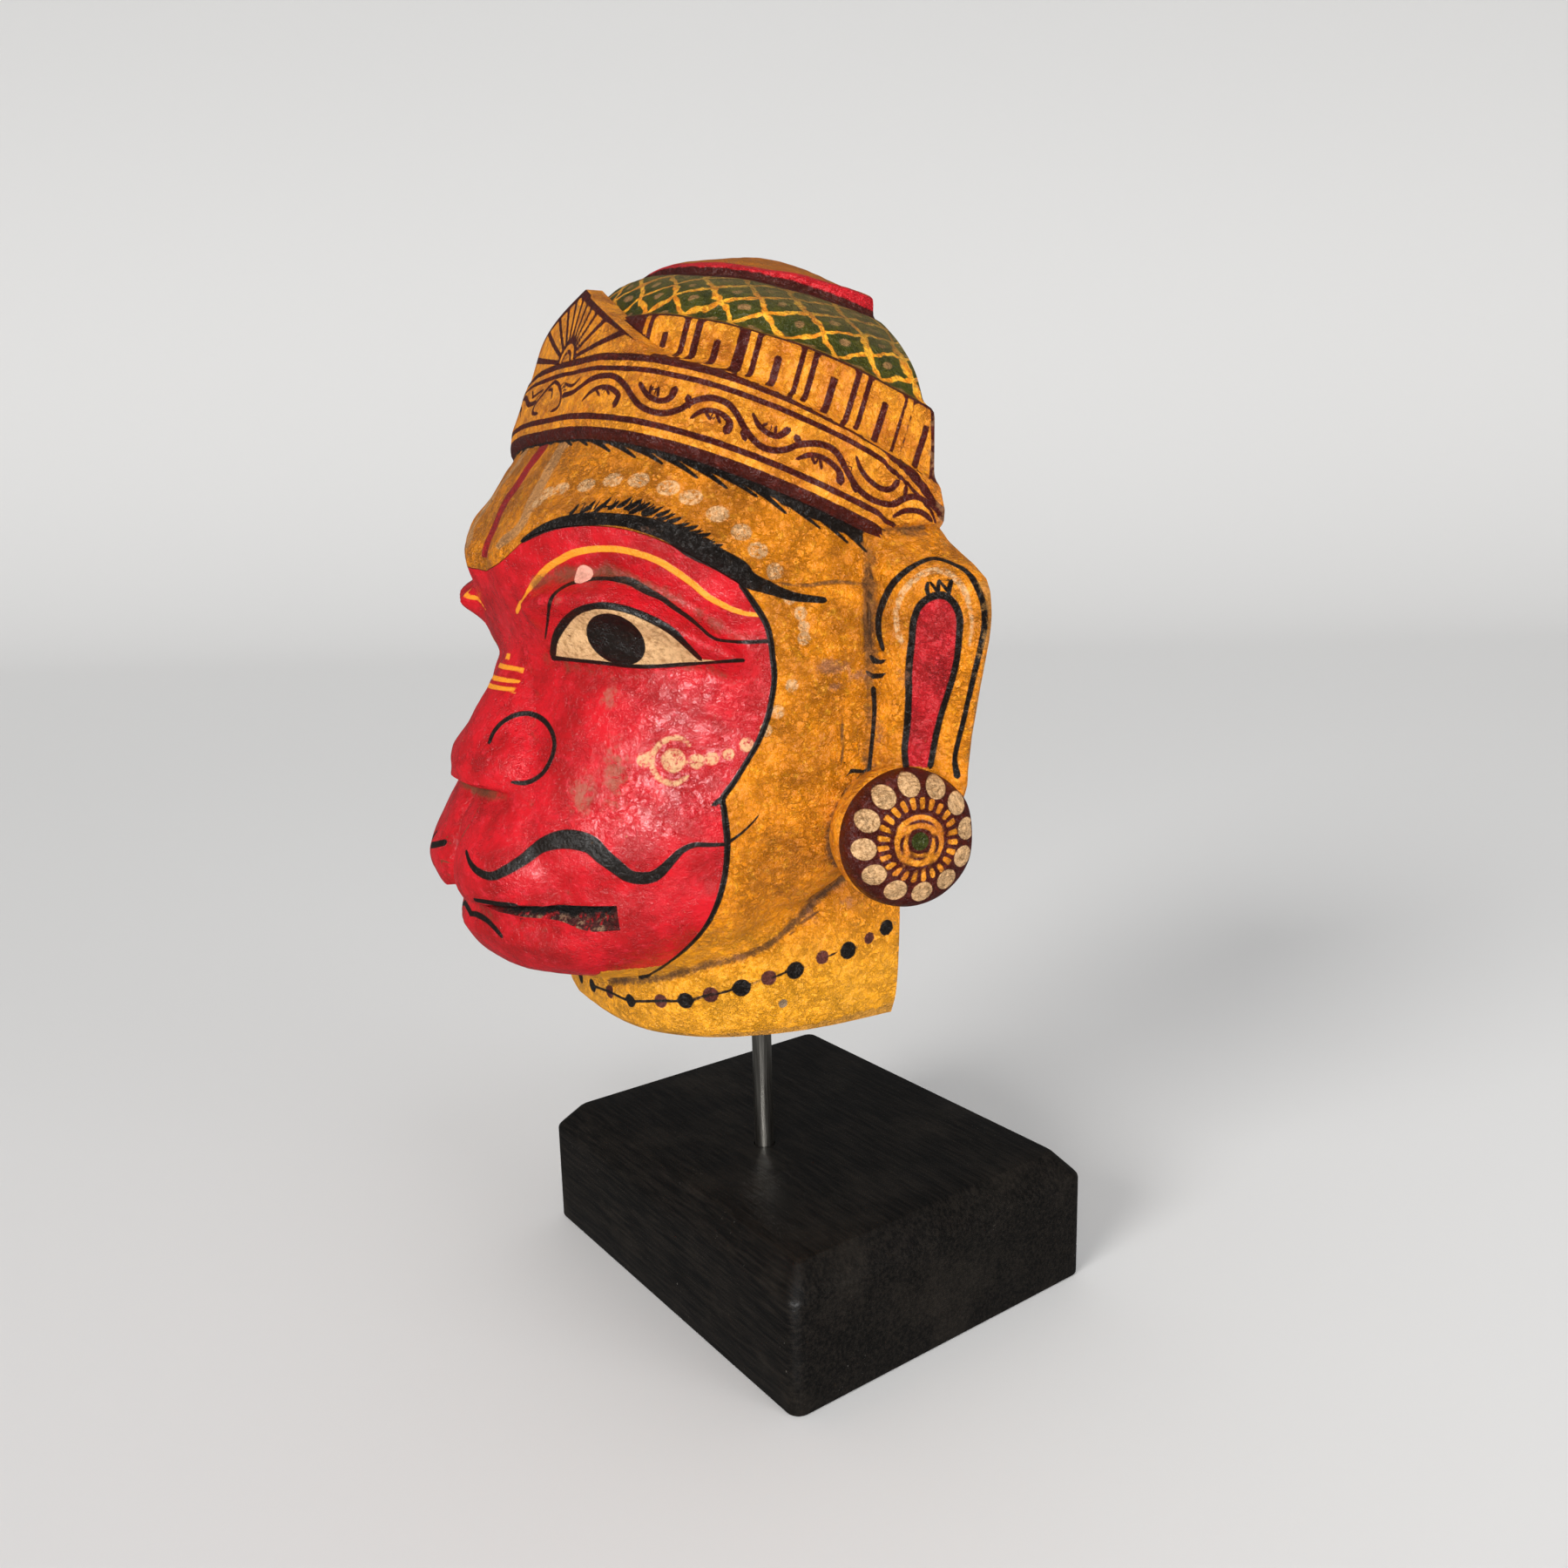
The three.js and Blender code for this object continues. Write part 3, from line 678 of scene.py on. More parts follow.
# How far beside a stroke and how far above or below it, in mm, the surface still takes its paint,
# and how fast the stroke's width shrinks beyond that
SIDE_START = 2.2
SIDE_FADE = 1.5
LIFT_START = 2
LIFT_FADE = 3
TINY = 1e-6
HOLLOW_ROUNDS = 3


def spline(points):
    """A smooth line through rows of numbers whose first two are pixels."""
    p = np.array(points, float)
    ends = np.vstack([2 * p[0] - p[1], p, 2 * p[-1] - p[-2]])
    line = []
    for a, b, c, d in zip(ends[:-3], ends[1:-2], ends[2:-1], ends[3:]):
        count = max(1, round(np.linalg.norm((c - b)[:2]) / SPLINE_STEP))
        square, cube = 2 * a - 5 * b + 4 * c - d, 3 * b - a - 3 * c + d
        for t in np.arange(count) / count:
            line.append(0.5 * (2 * b + (c - a) * t + square * t**2 + cube * t**3))
    return np.array(line + [p[-1]])


def inside(points, polygon):
    """True for the points that lie in a closed polygon."""
    x, y = points[:, 0], points[:, 1]
    crossings = np.zeros(len(points), bool)
    for (x0, y0), (x1, y1) in zip(polygon, np.roll(polygon, -1, axis=0)):
        if y0 == y1:
            continue
        spans = (y0 > y) != (y1 > y)
        crossings ^= spans & (x < (x1 - x0) * (y - y0) / (y1 - y0) + x0)
    return crossings


class Canvas:
    """The carved surface and the fields that its paint is made from. Both sides are painted
    alike: each vertex is folded onto the side that the camera sees. Only a stroke that lies on
    the other side is painted on that side alone."""

    def __init__(self, head):
        self.mesh = head.data
        self.points = points_of(self.mesh)
        side = np.where(self.points[:, :1] < 0, -1.0, 1.0)
        self.fold = side * np.array([1.0, 0, 0]) + np.array([0, 1.0, 1.0])
        self.folded = self.points * self.fold
        self.normals = normals_of(self.mesh) * self.fold
        self.pixels = to_photo(self.folded)
        self.tree = BVHTree.FromObject(head, bpy.context.evaluated_depsgraph_get())
        self.ink = {}

    def hit(self, pixel):
        place = self.tree.ray_cast(Vector(EYE_POINT), Vector(sight(pixel)))[0]
        return None if place is None else np.array(place)

    def drop(self, points):
        """A line of pixels on the surface, with the half widths that came with them in mm."""
        places, widths = [], []
        for row in spline(points):
            place = self.hit(row)
            if place is not None:
                places.append(place)
                widths.append(row[2] / PIXELS_PER_MM if len(row) > 2 else 0)
        return np.array(places), np.array(widths)

    def line(self, channel, line, widths):
        """Lays one brush stroke: the signed distance to its middle and its half width there."""
        if len(line) < 2:
            return
        if channel not in self.ink:
            self.ink[channel] = np.tile([FAR, -FAR], (len(self.points), 1))
        ink = self.ink[channel]
        margin = 3 + widths.max()
        far = line[:, 0].mean() < 0
        places = self.points if far else self.folded
        near = np.all((places > line.min(0) - margin) & (places < line.max(0) + margin), axis=1)
        near = np.flatnonzero(near)
        if not len(near):
            return
        p = places[near]
        facing = self.normals[near] * (self.fold[near] if far else 1)
        start, run = line[:-1], np.diff(line, axis=0)
        length = np.maximum(np.linalg.norm(run, axis=1), TINY)
        low, high = np.zeros(len(run)), np.ones(len(run))
        low[0], high[-1] = -FAR, FAR
        t = np.einsum("pj,sj->ps", p, run) - np.einsum("sj,sj->s", start, run)
        t = np.clip(t / length**2, low, high)
        gap = np.linalg.norm(p[:, None] - start - t[..., None] * run, axis=2)
        best = gap.argmin(1)
        t = t[np.arange(len(p)), best]
        away = p - start[best] - t[:, None] * run[best]
        side = np.cross(run[best], facing)
        across = (away * side).sum(1) / np.maximum(np.linalg.norm(side, axis=1), TINY)
        total = np.concatenate([[0], np.cumsum(length)])
        along = total[best] + t * length[best]
        over = np.maximum(np.maximum(-along, along - total[-1]), 0)
        width = np.interp(along, total, widths)
        rounded = width * np.sqrt(np.maximum(1 - (over / np.maximum(width, TINY)) ** 2, 0))
        ended = np.where(over < width, rounded, width - over)
        lift = np.abs((away * facing).sum(1))
        ended = ended - SIDE_FADE * np.maximum(np.abs(across) - SIDE_START - width, 0)
        ended = ended - LIFT_FADE * np.maximum(lift - LIFT_START, 0)
        better = ended - np.abs(across) > ink[near, 1] - np.abs(ink[near, 0])
        ink[near[better], 0] = np.clip(across[better], -FAR, FAR)
        ink[near[better], 1] = np.clip(ended[better], -FAR, FAR)

    def strokes(self, channel, *lines):
        for points in lines:
            self.line(channel, *self.drop(points))

    def cover(self, channel, *lines):
        """Draws lines in a channel of their own: how far inside them each vertex lies."""
        self.strokes(channel, *lines)
        across, width = self.ink[channel].T
        return width - np.abs(across)

    def near_side(self, field):
        """A field on the side that the camera sees, and nothing on the other."""
        return np.where(self.points[:, 0] > 0, field, -FAR)

    def gap_to(self, line, reach=12.0):
        """Distance of every vertex to a line on the surface, at most reach."""
        gap = np.full(len(self.points), reach)
        near = np.all((self.folded > line.min(0) - reach) & (self.folded < line.max(0) + reach), axis=1)
        near = np.flatnonzero(near)
        for chunk in np.array_split(near, max(1, len(near) // 4000)):
            p = self.folded[chunk]
            start, run = line[:-1], np.diff(line, axis=0)
            square = np.maximum((run**2).sum(1), 1e-9)
            t = np.einsum("pj,sj->ps", p, run) - np.einsum("sj,sj->s", start, run)
            t = np.clip(t / square, 0, 1)
            away = np.linalg.norm(p[:, None] - start - t[..., None] * run, axis=2)
            gap[chunk] = np.minimum(gap[chunk], away.min(1))
        return gap

    def region(self, edge, closing=()):
        """Signed distance to an edge drawn in pixels, positive within it. The points of closing
        finish the polygon where no edge is wanted."""
        outline_points = spline(edge if len(closing) else list(edge) + [edge[0]])
        line, _ = self.drop(outline_points[::2])
        polygon = np.vstack([outline_points[:, :2], np.reshape(closing, (-1, 2))])
        gap = self.gap_to(line)
        return np.where(inside(self.pixels, polygon), gap, -gap)

    def dots(self, dots):
        """How far inside the nearest of some dots of (u, v, radius in pixels, height by width)."""
        cover = np.full(len(self.points), -FAR)
        for u, v, radius, *squash in dots:
            place = self.hit((u, v))
            if place is not None:
                away = self.folded - place
                if squash:
                    away[:, 2] /= squash[0]
                cover = np.maximum(cover, radius / PIXELS_PER_MM - np.linalg.norm(away, axis=1))
        return cover

    def save(self, name, *fields):
        """Stores up to three fields as one named vector on the mesh's vertices."""
        rows = np.zeros((len(self.points), 3), np.float32)
        for i, field in enumerate(fields):
            rows[:, i] = field
        attribute = self.mesh.attributes.new(name, "FLOAT_VECTOR", "POINT")
        attribute.data.foreach_set("vector", rows.ravel())


def hollowness(mesh):
    """How deep each vertex lies between its neighbours, smoothed."""
    points, normals = points_of(mesh), normals_of(mesh)
    edges = np.empty(len(mesh.edges) * 2, int)
    mesh.edges.foreach_get("vertices", edges)
    a, b = edges.reshape(-1, 2).T
    degree = np.maximum(np.bincount(np.concatenate([a, b]), minlength=len(points)), 1)
    smooth = points.copy()

    def average(values):
        total = np.zeros_like(values)
        np.add.at(total, a, values[b])
        np.add.at(total, b, values[a])
        return total / (degree[:, None] if values.ndim > 1 else degree)

    for _ in range(HOLLOW_ROUNDS):
        smooth = average(smooth)
    value = ((smooth - points) * normals).sum(1)
    for _ in range(2):
        value = average(value)
    return value


# What is painted where, in pixels of the photograph. The third number of a row is the half width
# of a line or the radius of a dot. A fourth is a dot's height by its width, or in the necklace 1 for
# a dark bead and 0 for a brown one. The pupil is its middle, half width, half height and turn in
# degrees, and each hair of the fringe is its root and its tip.

BROW_LINE = [
    (599, 621, 3), (627, 605, 6), (662, 596.5, 7.5), (706, 596, 7), (736, 601, 8.5), (770, 612, 10.5),
    (795, 627, 13), (824, 642, 12), (848, 655.5, 12), (860, 666, 9.5), (883, 675, 7), (912, 685, 5),
    (946, 689, 3.5),
]
CONTOUR = [
    (851, 672, 3), (865, 692, 3.6), (878.5, 714, 3.6), (884, 731.5, 3.4), (887, 755, 3.4),
    (889, 778, 3.4), (885, 808, 3.4), (880, 828, 3.4), (869.7, 853, 3.4), (857, 875, 3.2),
    (842, 899, 3.4), (829.7, 916.5, 3.6), (831, 928, 3.6), (833.5, 949, 4), (835, 966.5, 4),
    (833.5, 996, 3.8), (827.6, 1025, 3.6), (817, 1052, 3.4), (804, 1072, 3.2), (785, 1091.5, 3.2),
    (764, 1107.6, 3), (747, 1118, 3), (735, 1122, 3),
]
RED_TOP = [
    (557, 656), (575, 645), (592, 629), (610, 615), (640, 606), (680, 603.5), (720, 608), (760, 621),
    (800, 641), (840, 664), (852, 673),
]
RED_CLOSING = [(700, 1150), (600, 1150), (400, 1150), (300, 900), (400, 700), (545, 690)]
# Below this height in mm the red ends at a line that slopes back under the jaw
RED_UNDER_TOP = 119
RED_UNDER_Y = 62
RED_UNDER_Z = 112
RED_UNDER_SLOPE = 0.3
MOUSTACHE = [
    (535, 977, 2.5), (539.4, 990, 3.5), (548, 1000, 4.5), (563, 1006, 5), (579, 1000, 6),
    (602.6, 985.6, 7), (623, 970, 8.5), (649.7, 963.5, 11), (676, 968.8, 11), (691, 982, 10),
    (708.5, 996, 9), (723, 1006, 8.5), (741, 1008, 8), (755.6, 1003, 7), (771.8, 987, 5),
    (782, 976.8, 4), (796.8, 970, 3), (814, 970, 2.6), (835, 969.4, 2.2),
]
WHISKER = [(835, 968, 2.2), (849.7, 957.6, 1.8), (861.5, 947, 1.4), (871, 936, 1)]
CONTOUR_SPUR = [(819, 924, 3), (830, 916, 3)]
NOSTRIL = [
    (562, 852, 3), (566, 841.5, 3.2), (576, 829.7, 3.2), (591, 821, 3.2), (607, 819, 3.2),
    (621.8, 825, 3.4), (632, 837, 3.4), (636.5, 853, 3.4), (633.5, 869, 3.4), (624.7, 885.6, 3.4),
    (614.4, 894.4, 3.2), (602.6, 898.8, 3), (588, 898, 1.8),
]
GROOVE_LINE = [
    (560, 906, 1.3), (554, 919, 1.4), (542, 941.5, 1.5), (529, 963.5, 1.5), (521.8, 981, 1.5),
    (521, 1001.8, 1.5), (523, 1016, 1.4),
]
LIP_DASH = [(490, 971, 4), (498, 970, 4.4), (511, 967, 4.2)]
CHIN_ARC = [(533.5, 1050, 3), (545, 1049, 3.6), (558.5, 1056, 3.6), (569, 1066.5, 3.2), (576, 1075, 2.6)]
LIP_EDGE = [(545, 1033, 3), (575, 1038, 4), (610, 1042, 4), (640, 1046, 4.5)]
LID_LINE = [
    (625.6, 734, 1.2), (628.5, 714, 1.5), (630, 699, 2), (633, 687, 3), (642, 677, 4),
    (656.5, 669.7, 4), (683, 664.5, 3.2), (706.5, 665, 4), (724, 668.5, 4.8), (741.8, 678.5, 4.8),
    (759.4, 687, 3.8), (774, 697.6, 3.8), (789, 708, 3.4), (803.5, 719.7, 3), (815, 730, 3),
    (827, 735, 2.6), (853.5, 737, 2.2), (883, 736, 2.4),
]
EYE_TOP = [
    (634.4, 754, 4.5), (637, 734.4, 5), (644.7, 719.7, 5), (656.5, 706, 4.6), (674, 697.6, 4.2),
    (697.6, 695.6, 4), (724, 700.6, 4), (747.6, 711, 4.4), (771, 725.6, 4.8), (789, 742, 5),
    (803, 756, 4),
]
EYE_BOTTOM = [
    (634.4, 755, 3.4), (662, 758, 2.8), (691.8, 761, 2.8), (721, 764.4, 2.8), (750.6, 765, 2.6),
    (780, 763, 2.6), (809.4, 761, 2.6), (836, 759, 2.6), (853.5, 758, 2.2),
]
PUPIL = (707, 734, 37, 26, 34)
# How far in mm the pupil may pass the edge of the eye
PUPIL_MARGIN = 2
ORANGE_ARC = [
    (593, 703, 2.4), (599, 690, 3.2), (609.4, 674, 3.6), (627, 653.5, 3.8), (644.7, 641.8, 3.8),
    (662, 633.8, 3.8), (689, 630, 3.6), (718, 632, 3.6), (750.6, 641.8, 3.8), (774, 655, 3.8),
    (794.7, 669.7, 3.6), (812, 684.4, 3.4), (836, 697.6, 3.2), (856.5, 704.4, 2.6), (875, 706.5, 2),
]
NOSE_BARS = [
    [(572.6, 764.4, 3.4), (600.6, 769.7, 3)],
    [(566.8, 777, 3.2), (597, 783.8, 2.8)],
    [(561, 787, 3.2), (591.8, 793.8, 2.8)],
    [(583, 753, 3.4), (585, 754, 3.4)],
]
FOREHEAD_DOTS = [
    (617, 577, 11, 0.6), (628, 566, 13, 0.6), (644, 561, 13, 0.6), (673, 557, 13, 0.65),
    (703, 551, 13.5, 0.65), (733, 551, 13.5, 0.65), (767, 560, 13.5, 0.65), (793, 571, 13.5, 0.65),
    (824, 590, 13, 0.7), (851, 611, 12, 0.8), (870, 632, 12, 0.8), (890, 656, 11, 0.9), (907, 686, 8),
    (919, 704, 8), (923, 719, 7), (923, 733, 8), (909, 787, 8), (893, 817, 8),
]
PENDANT_DOTS = [
    (879, 838.5, 8), (857, 855, 8.5), (836.5, 866, 7), (817, 871, 8), (799.7, 874, 9), (773, 873, 14),
    (739.4, 872, 9),
]
PENDANT_RING = [
    (792, 856, 2.6), (784, 849, 3.2), (773, 847, 3.4), (759, 853, 3.4), (750, 864, 3.6), (748, 876, 3.8),
    (753, 890, 3.6), (763, 897, 3.4), (775, 900, 3.4), (789, 891.5, 2.6),
]
EAR_LINE = [
    (1013.5, 745, 3), (1009, 727.6, 4), (1009, 707, 4.6), (1015, 688, 4.8), (1025, 670, 4.2),
    (1040, 655.6, 3.6), (1057.6, 645, 3.2), (1073.8, 641, 3.4), (1093, 646.8, 3.2), (1110.6, 657, 3.2),
    (1122, 674.7, 3.4), (1129, 695, 3.4), (1130, 719, 3.4), (1125, 745, 3.2), (1118, 774.7, 3),
    (1112, 801, 3), (1106, 827.6, 3), (1100, 851, 3), (1096, 872, 3), (1098.8, 890, 4),
]
EAR_FRONT_LINE = [
    (1003, 791, 3.4), (1004, 816, 3), (1001.8, 845, 2.6), (998.8, 874.7, 2.6), (998, 889, 2.8),
    (1004, 899, 4),
]
EAR_CREAM = [
    (1033.5, 736, 4), (1029.7, 719, 4.2), (1029.7, 698, 4), (1037, 679, 4), (1051.8, 664, 4.4),
    (1069, 655, 4.6), (1087, 657, 4.4), (1101.8, 670, 4), (1110.6, 686.5, 3.6), (1116.5, 713, 3),
    (1113.5, 742, 2.4),
]
EAR_LOBE = [
    (1040, 879, 3.8), (1038.5, 860, 3.8), (1041.5, 830.6, 4), (1043, 801, 4), (1043, 774.7, 4),
    (1044.4, 754, 4.2), (1047, 733.5, 4), (1048.8, 713, 4), (1056, 695, 4), (1069.4, 685, 4.2),
    (1084, 683.5, 4.2), (1096, 693.8, 4), (1101.8, 710, 4), (1101, 730.6, 3.8), (1098.8, 754, 3.6),
    (1093, 780.6, 3.6), (1082.6, 813, 3.6), (1075, 842, 3.6), (1068, 879, 3.6),
]
EAR_HAIRS = [
    [(1066, 683, 2.4), (1064, 676, 2.6), (1065, 670, 2.2)],
    [(1077, 681, 2.4), (1077, 674, 2.6), (1078, 667, 2.2)],
    [(1089, 682, 2.4), (1090, 674, 3), (1092, 667, 2.4)],
]
EAR_TICKS = [
    [(1000, 754, 2.2), (1006, 761, 3), (1018, 757, 2)],
    [(996, 772, 2.2), (1006, 777.6, 3), (1018, 772, 2)],
]
NECKLACE = [
    (680, 1131.4, 9.5, 1), (699.6, 1138.6, 9, 0), (723.6, 1148.6, 9, 1), (758.6, 1149, 9, 0),
    (787, 1148.6, 10.5, 1), (815.7, 1142, 10, 0), (851.4, 1134, 11.5, 1), (882.5, 1122.5, 10, 0),
    (912.9, 1114, 11.5, 1), (944, 1099, 9, 0), (973.6, 1091, 11.5, 1), (997.9, 1076.8, 8, 0),
    (1017.5, 1065, 10.5, 1),
]
VINE = [
    (646, 454), (657, 450.6), (666, 444), (679, 435), (694, 431), (707, 433), (718, 443), (725.6, 455),
    (735, 466), (750.6, 473), (766, 474), (782, 469), (791, 463), (804, 458), (819, 457), (835, 463),
    (844, 472.5), (852, 486.6), (860, 499), (872.5, 511.6), (888, 517), (904, 515.6), (916, 510.6),
    (935, 509), (950.6, 512.5), (961.6, 521), (971, 538), (982, 557), (994, 569), (1010, 577),
    (1025.6, 579), (1038, 572.5), (1050.6, 570), (1066, 577), (1077, 586.6),
]
VINE_HALF_WIDTH = 3.6
VINE_LEAVES = [
    [(647.5, 439.7, 1.6), (657, 442.8, 2.4), (666, 434, 2)],
    [(668, 460, 1.6), (679, 449, 3), (691, 444, 3), (702, 446, 3.2), (710, 454, 3.4), (706, 463, 5)],
    [(735, 441, 3), (744, 454, 3.2), (757, 460, 3.4), (769, 457, 4), (774, 448, 5)],
    [(793, 480, 1.8), (804, 472.5, 3), (816, 471, 3), (829, 475.6, 3.2), (838, 485, 3.6),
     (835, 493, 5.5)],
    [(864.7, 475.6, 1.8), (871, 488, 3), (882, 497.5, 3), (894, 500.6, 3.4), (903.8, 494, 4.5)],
    [(914.7, 527, 1.8), (925.6, 523, 3), (938, 523, 3), (952, 530, 3.2), (963, 541, 3.6),
     (964.7, 551, 5.5)],
    [(983, 524, 1.6), (988, 538, 2.8), (997.5, 550.6, 3), (1010, 560, 3.2), (1022.5, 561.6, 3.4),
     (1030, 554, 4)],
    [(1025.6, 593, 2), (1038, 586.6, 3.2), (1053.8, 586.6, 3.2), (1064.7, 592.8, 3), (1069, 597.5, 2.4)],
]
VINE_HOOKS = [
    [(684, 446, 2), (688, 454, 1.8)], [(695, 444, 2), (699, 452, 1.8)],
    [(747.5, 443, 2), (746, 451, 2)], [(756, 445, 2), (755, 455, 2)], [(810, 473, 2), (815, 481, 1.8)],
    [(822, 473, 2), (826, 484, 2)], [(880, 486, 1.8), (874, 490, 1.8)],
    [(891, 490, 2), (889.7, 498, 2)], [(932, 524, 2), (935, 532, 1.8)], [(941, 525, 2), (943, 537, 2)],
    [(790, 457, 4), (791, 465, 3.6)], [(853, 497, 3.6), (855, 503, 3.2)],
    [(915, 503, 4), (918, 510, 3.4)], [(980, 556, 3.8), (982, 562, 3.4)],
    [(1040, 560, 3), (1039, 570, 2.6)],
]
MEDALLION = [(633, 436.5, 2.4), (641, 441, 2.6), (644, 454, 2.8), (641, 467, 2.6), (633, 472, 2.4)]
MEDALLION_MARK = [(629, 448, 1.8), (634, 447, 2), (633, 457, 1.8)]
PETAL_CENTRES = [(761, 393), (821, 404), (888, 430), (950, 459), (1008, 487), (1058, 513)]
BAR_CENTRES = [(734, 385), (789, 394), (856, 415), (921, 444), (981, 472), (1035, 499)]
TILAK_ARM = [(650, 503, 12), (634, 532, 13), (616, 565, 13), (597, 603, 12), (575, 622, 10)]
CHIP_SPOT = (670, 661, 12)
GREY_SPOT = (899, 1152, 6)
THREAD_HALF_WIDTH = 2

TIER_STEP = 3.8
PETAL_MARGIN = 1.5
# Half widths of petals, slots and bars as shares of the petals' spacing, the rest in mm
PETAL_HALF = 0.335
PETAL_CORNER = 1.3
SLOT_HALF = 0.065
SLOT_DROP = 4.0
BAR_HALF = 0.06
CREST_MIDDLE = 2.2
CREST_SUN_DROP = 0.6
CREST_RAY = math.pi / 11
CREST_RAY_START = 6.0
CREST_RAY_GAP = 0.5
CREST_RAY_TAPER = 0.012
CREST_DISC = 2.3
CREST_ARCH = (3.4, 4.8)
CREST_EDGE_SLOPE = 0.9
CREST_EDGE_WIDTH = 1.9
CREST_FACING = -0.45
CREST_BACK_GOLD = 1.2
EARRING_MIDDLE = (1056.5, 966)
EARRING_EYE = 2.2
EARRING_RINGS = [(3.1, 4.2), (5.1, 6.4)]
EARRING_RAYS = 24
EARRING_RAY_HALF = 0.27
EARRING_RAY_REACH = (7.7, 10.4)
EARRING_GOLD_BACK = -1.9
EARRING_BACK_GOLD = 2.0
EARRING_BEADS = 12
EARRING_BEAD_SHIFT = 0.3
EARRING_BEAD_RING = 13.3
EARRING_BEAD_RADIUS = 2.75
EARRING_BEAD_BACK = -1.2

FEATHER_TIPS = [
    (665, 578), (684, 574), (702, 571), (726, 570), (738, 573), (744, 578), (761, 582), (775, 590),
    (793, 600), (807, 609), (821, 622),
]
FRINGE_HAIRS = [
    (640, 500, 656, 511), (655, 499, 674, 511), (668, 500, 700, 518), (690, 502, 729, 525),
    (720, 510, 760, 532), (755, 520, 800, 548), (785, 528, 834, 560), (815, 538, 869, 570),
    (850, 550, 902, 589), (880, 562, 941, 606), (915, 575, 973, 623), (950, 592, 994, 633),
]
FRINGE_U = [620, 700, 850, 1000]
FRINGE_DROP = [0.9, 1.3, 2.6, 3.4]
FRINGE_END = -6.5
FRINGE_WAVE = 0.3
FRINGE_TURNS = 0.9
STRIPE_HEIGHTS = [223, 250]
STRIPE_HALVES = [2.4, 3.2]
MOUTH_BACK_Y = -30
MOUTH_HEIGHTS = (110, 142)
WORN_SPOTS = [
    (669, 912, 17, 1.5), (706, 890, 15, 3.2), (640, 690, 12, 0.5), (955, 765, 22, 0.5),
    (985, 775, 16, 0.5), (958, 788, 12, 0.6), (930, 1052, 12, 0.8), (975, 1035, 14, 0.6),
    (840, 470, 8, 1), (1016, 560, 14, 1.6), (742, 610, 9, 0.4), (700, 800, 12, 1), (1010, 840, 9, 2.5),
    (1038, 775, 7, 1.5), (845, 1100, 11, 0.6),
]
JAW_CREASE = [
    (700, 1127), (760, 1123), (810, 1109), (850, 1099), (880, 1086), (905, 1066), (925, 1046),
    (940, 1031), (955, 1020), (968, 1009),
]
CRACKS = [
    [(966, 821, 1), (967, 850, 2.2), (966, 884, 1)], [(985, 836, 1), (986, 850, 1.5), (985, 866, 0.8)],
    [(885, 669, 1), (925, 672, 1.8), (960, 668, 2.2), (1000, 672, 1)],
    [(1003, 640, 2), (998, 700, 2.6), (999, 745, 1.5)],
    [(905, 1075, 1), (922, 1058, 2), (940, 1046, 1)], [(1006, 526, 1), (1012, 560, 2), (1022, 596, 1)],
]


def brow_feathers():
    """Short tapering strokes that leave the top of the brow, turning flat towards its tail."""
    count = len(FEATHER_TIPS)
    strokes = []
    for (u, v), turn, reach in zip(FEATHER_TIPS, np.linspace(50, 6, count), np.linspace(16, 27, count)):
        back = np.array([math.cos(math.radians(turn)), -math.sin(math.radians(turn))])
        for share, slide in ((1, 0), (0.75, 9)):
            tip = np.array([u + slide, v + 4 * (1 - share) + slide * 0.25])
            base = tip - back * reach * share
            middle = (base + tip) / 2 + np.array([0, 0.8])
            strokes.append([(*base, 3.2), (*middle, 2.8), (*tip, 1.1)])
    return strokes


def fringe_strokes():
    """Slanting hairs under the rim of the crown, longer towards the ear."""
    strokes = []
    for u, v, tip_u, tip_v in FRINGE_HAIRS:
        middle = ((u + tip_u) / 2 + 1, (v + tip_v) / 2 - 1.5)
        strokes.append([(u, v, 3.6), (*middle, 3.2), (tip_u, tip_v, 1.5)])
    return strokes


# Node materials


def colour(code):
    """Linear colour of a hexadecimal screen colour."""
    values = [int(code[i : i + 2], 16) / 255 for i in (1, 3, 5)]
    linear = [v / 12.92 if v <= 0.04045 else ((v + 0.055) / 1.055) ** 2.4 for v in values]
    return (*linear, 1.0)


class Value:
    """A number or vector in a node tree, with arithmetic."""

    def __init__(self, tree, socket):
        self.tree = tree
        self.socket = socket

    def put(self, socket):
        self.tree.links.new(self.socket, socket)

    def math(self, operation, *others):
        node = self.tree.nodes.new("ShaderNodeMath")
        node.operation = operation
        for value, socket in zip((self, *others), node.inputs):
            if isinstance(value, Value):
                value.put(socket)
            else:
                socket.default_value = value
        return Value(self.tree, node.outputs[0])

    def __add__(self, other):
        return self.math("ADD", other)

    def __sub__(self, other):
        return self.math("SUBTRACT", other)

    def __mul__(self, other):
        return self.math("MULTIPLY", other)

    def __truediv__(self, other):
        return self.math("DIVIDE", other)

    def most(self, other):
        return self.math("MAXIMUM", other)

    def size(self):
        return self.math("ABSOLUTE")

    def part(self):
        """What is left after whole numbers are taken away."""
        return self.math("FRACT")

    def flip(self):
        """One minus the value."""
        return self * -1 + 1

    def step(self, low, high):
        """0 below low, 1 above high, smooth between."""
        node = self.tree.nodes.new("ShaderNodeMapRange")
        node.interpolation_type = "SMOOTHSTEP"
        self.put(node.inputs["Value"])
        node.inputs["From Min"].default_value = low
        node.inputs["From Max"].default_value = high
        return Value(self.tree, node.outputs["Result"])


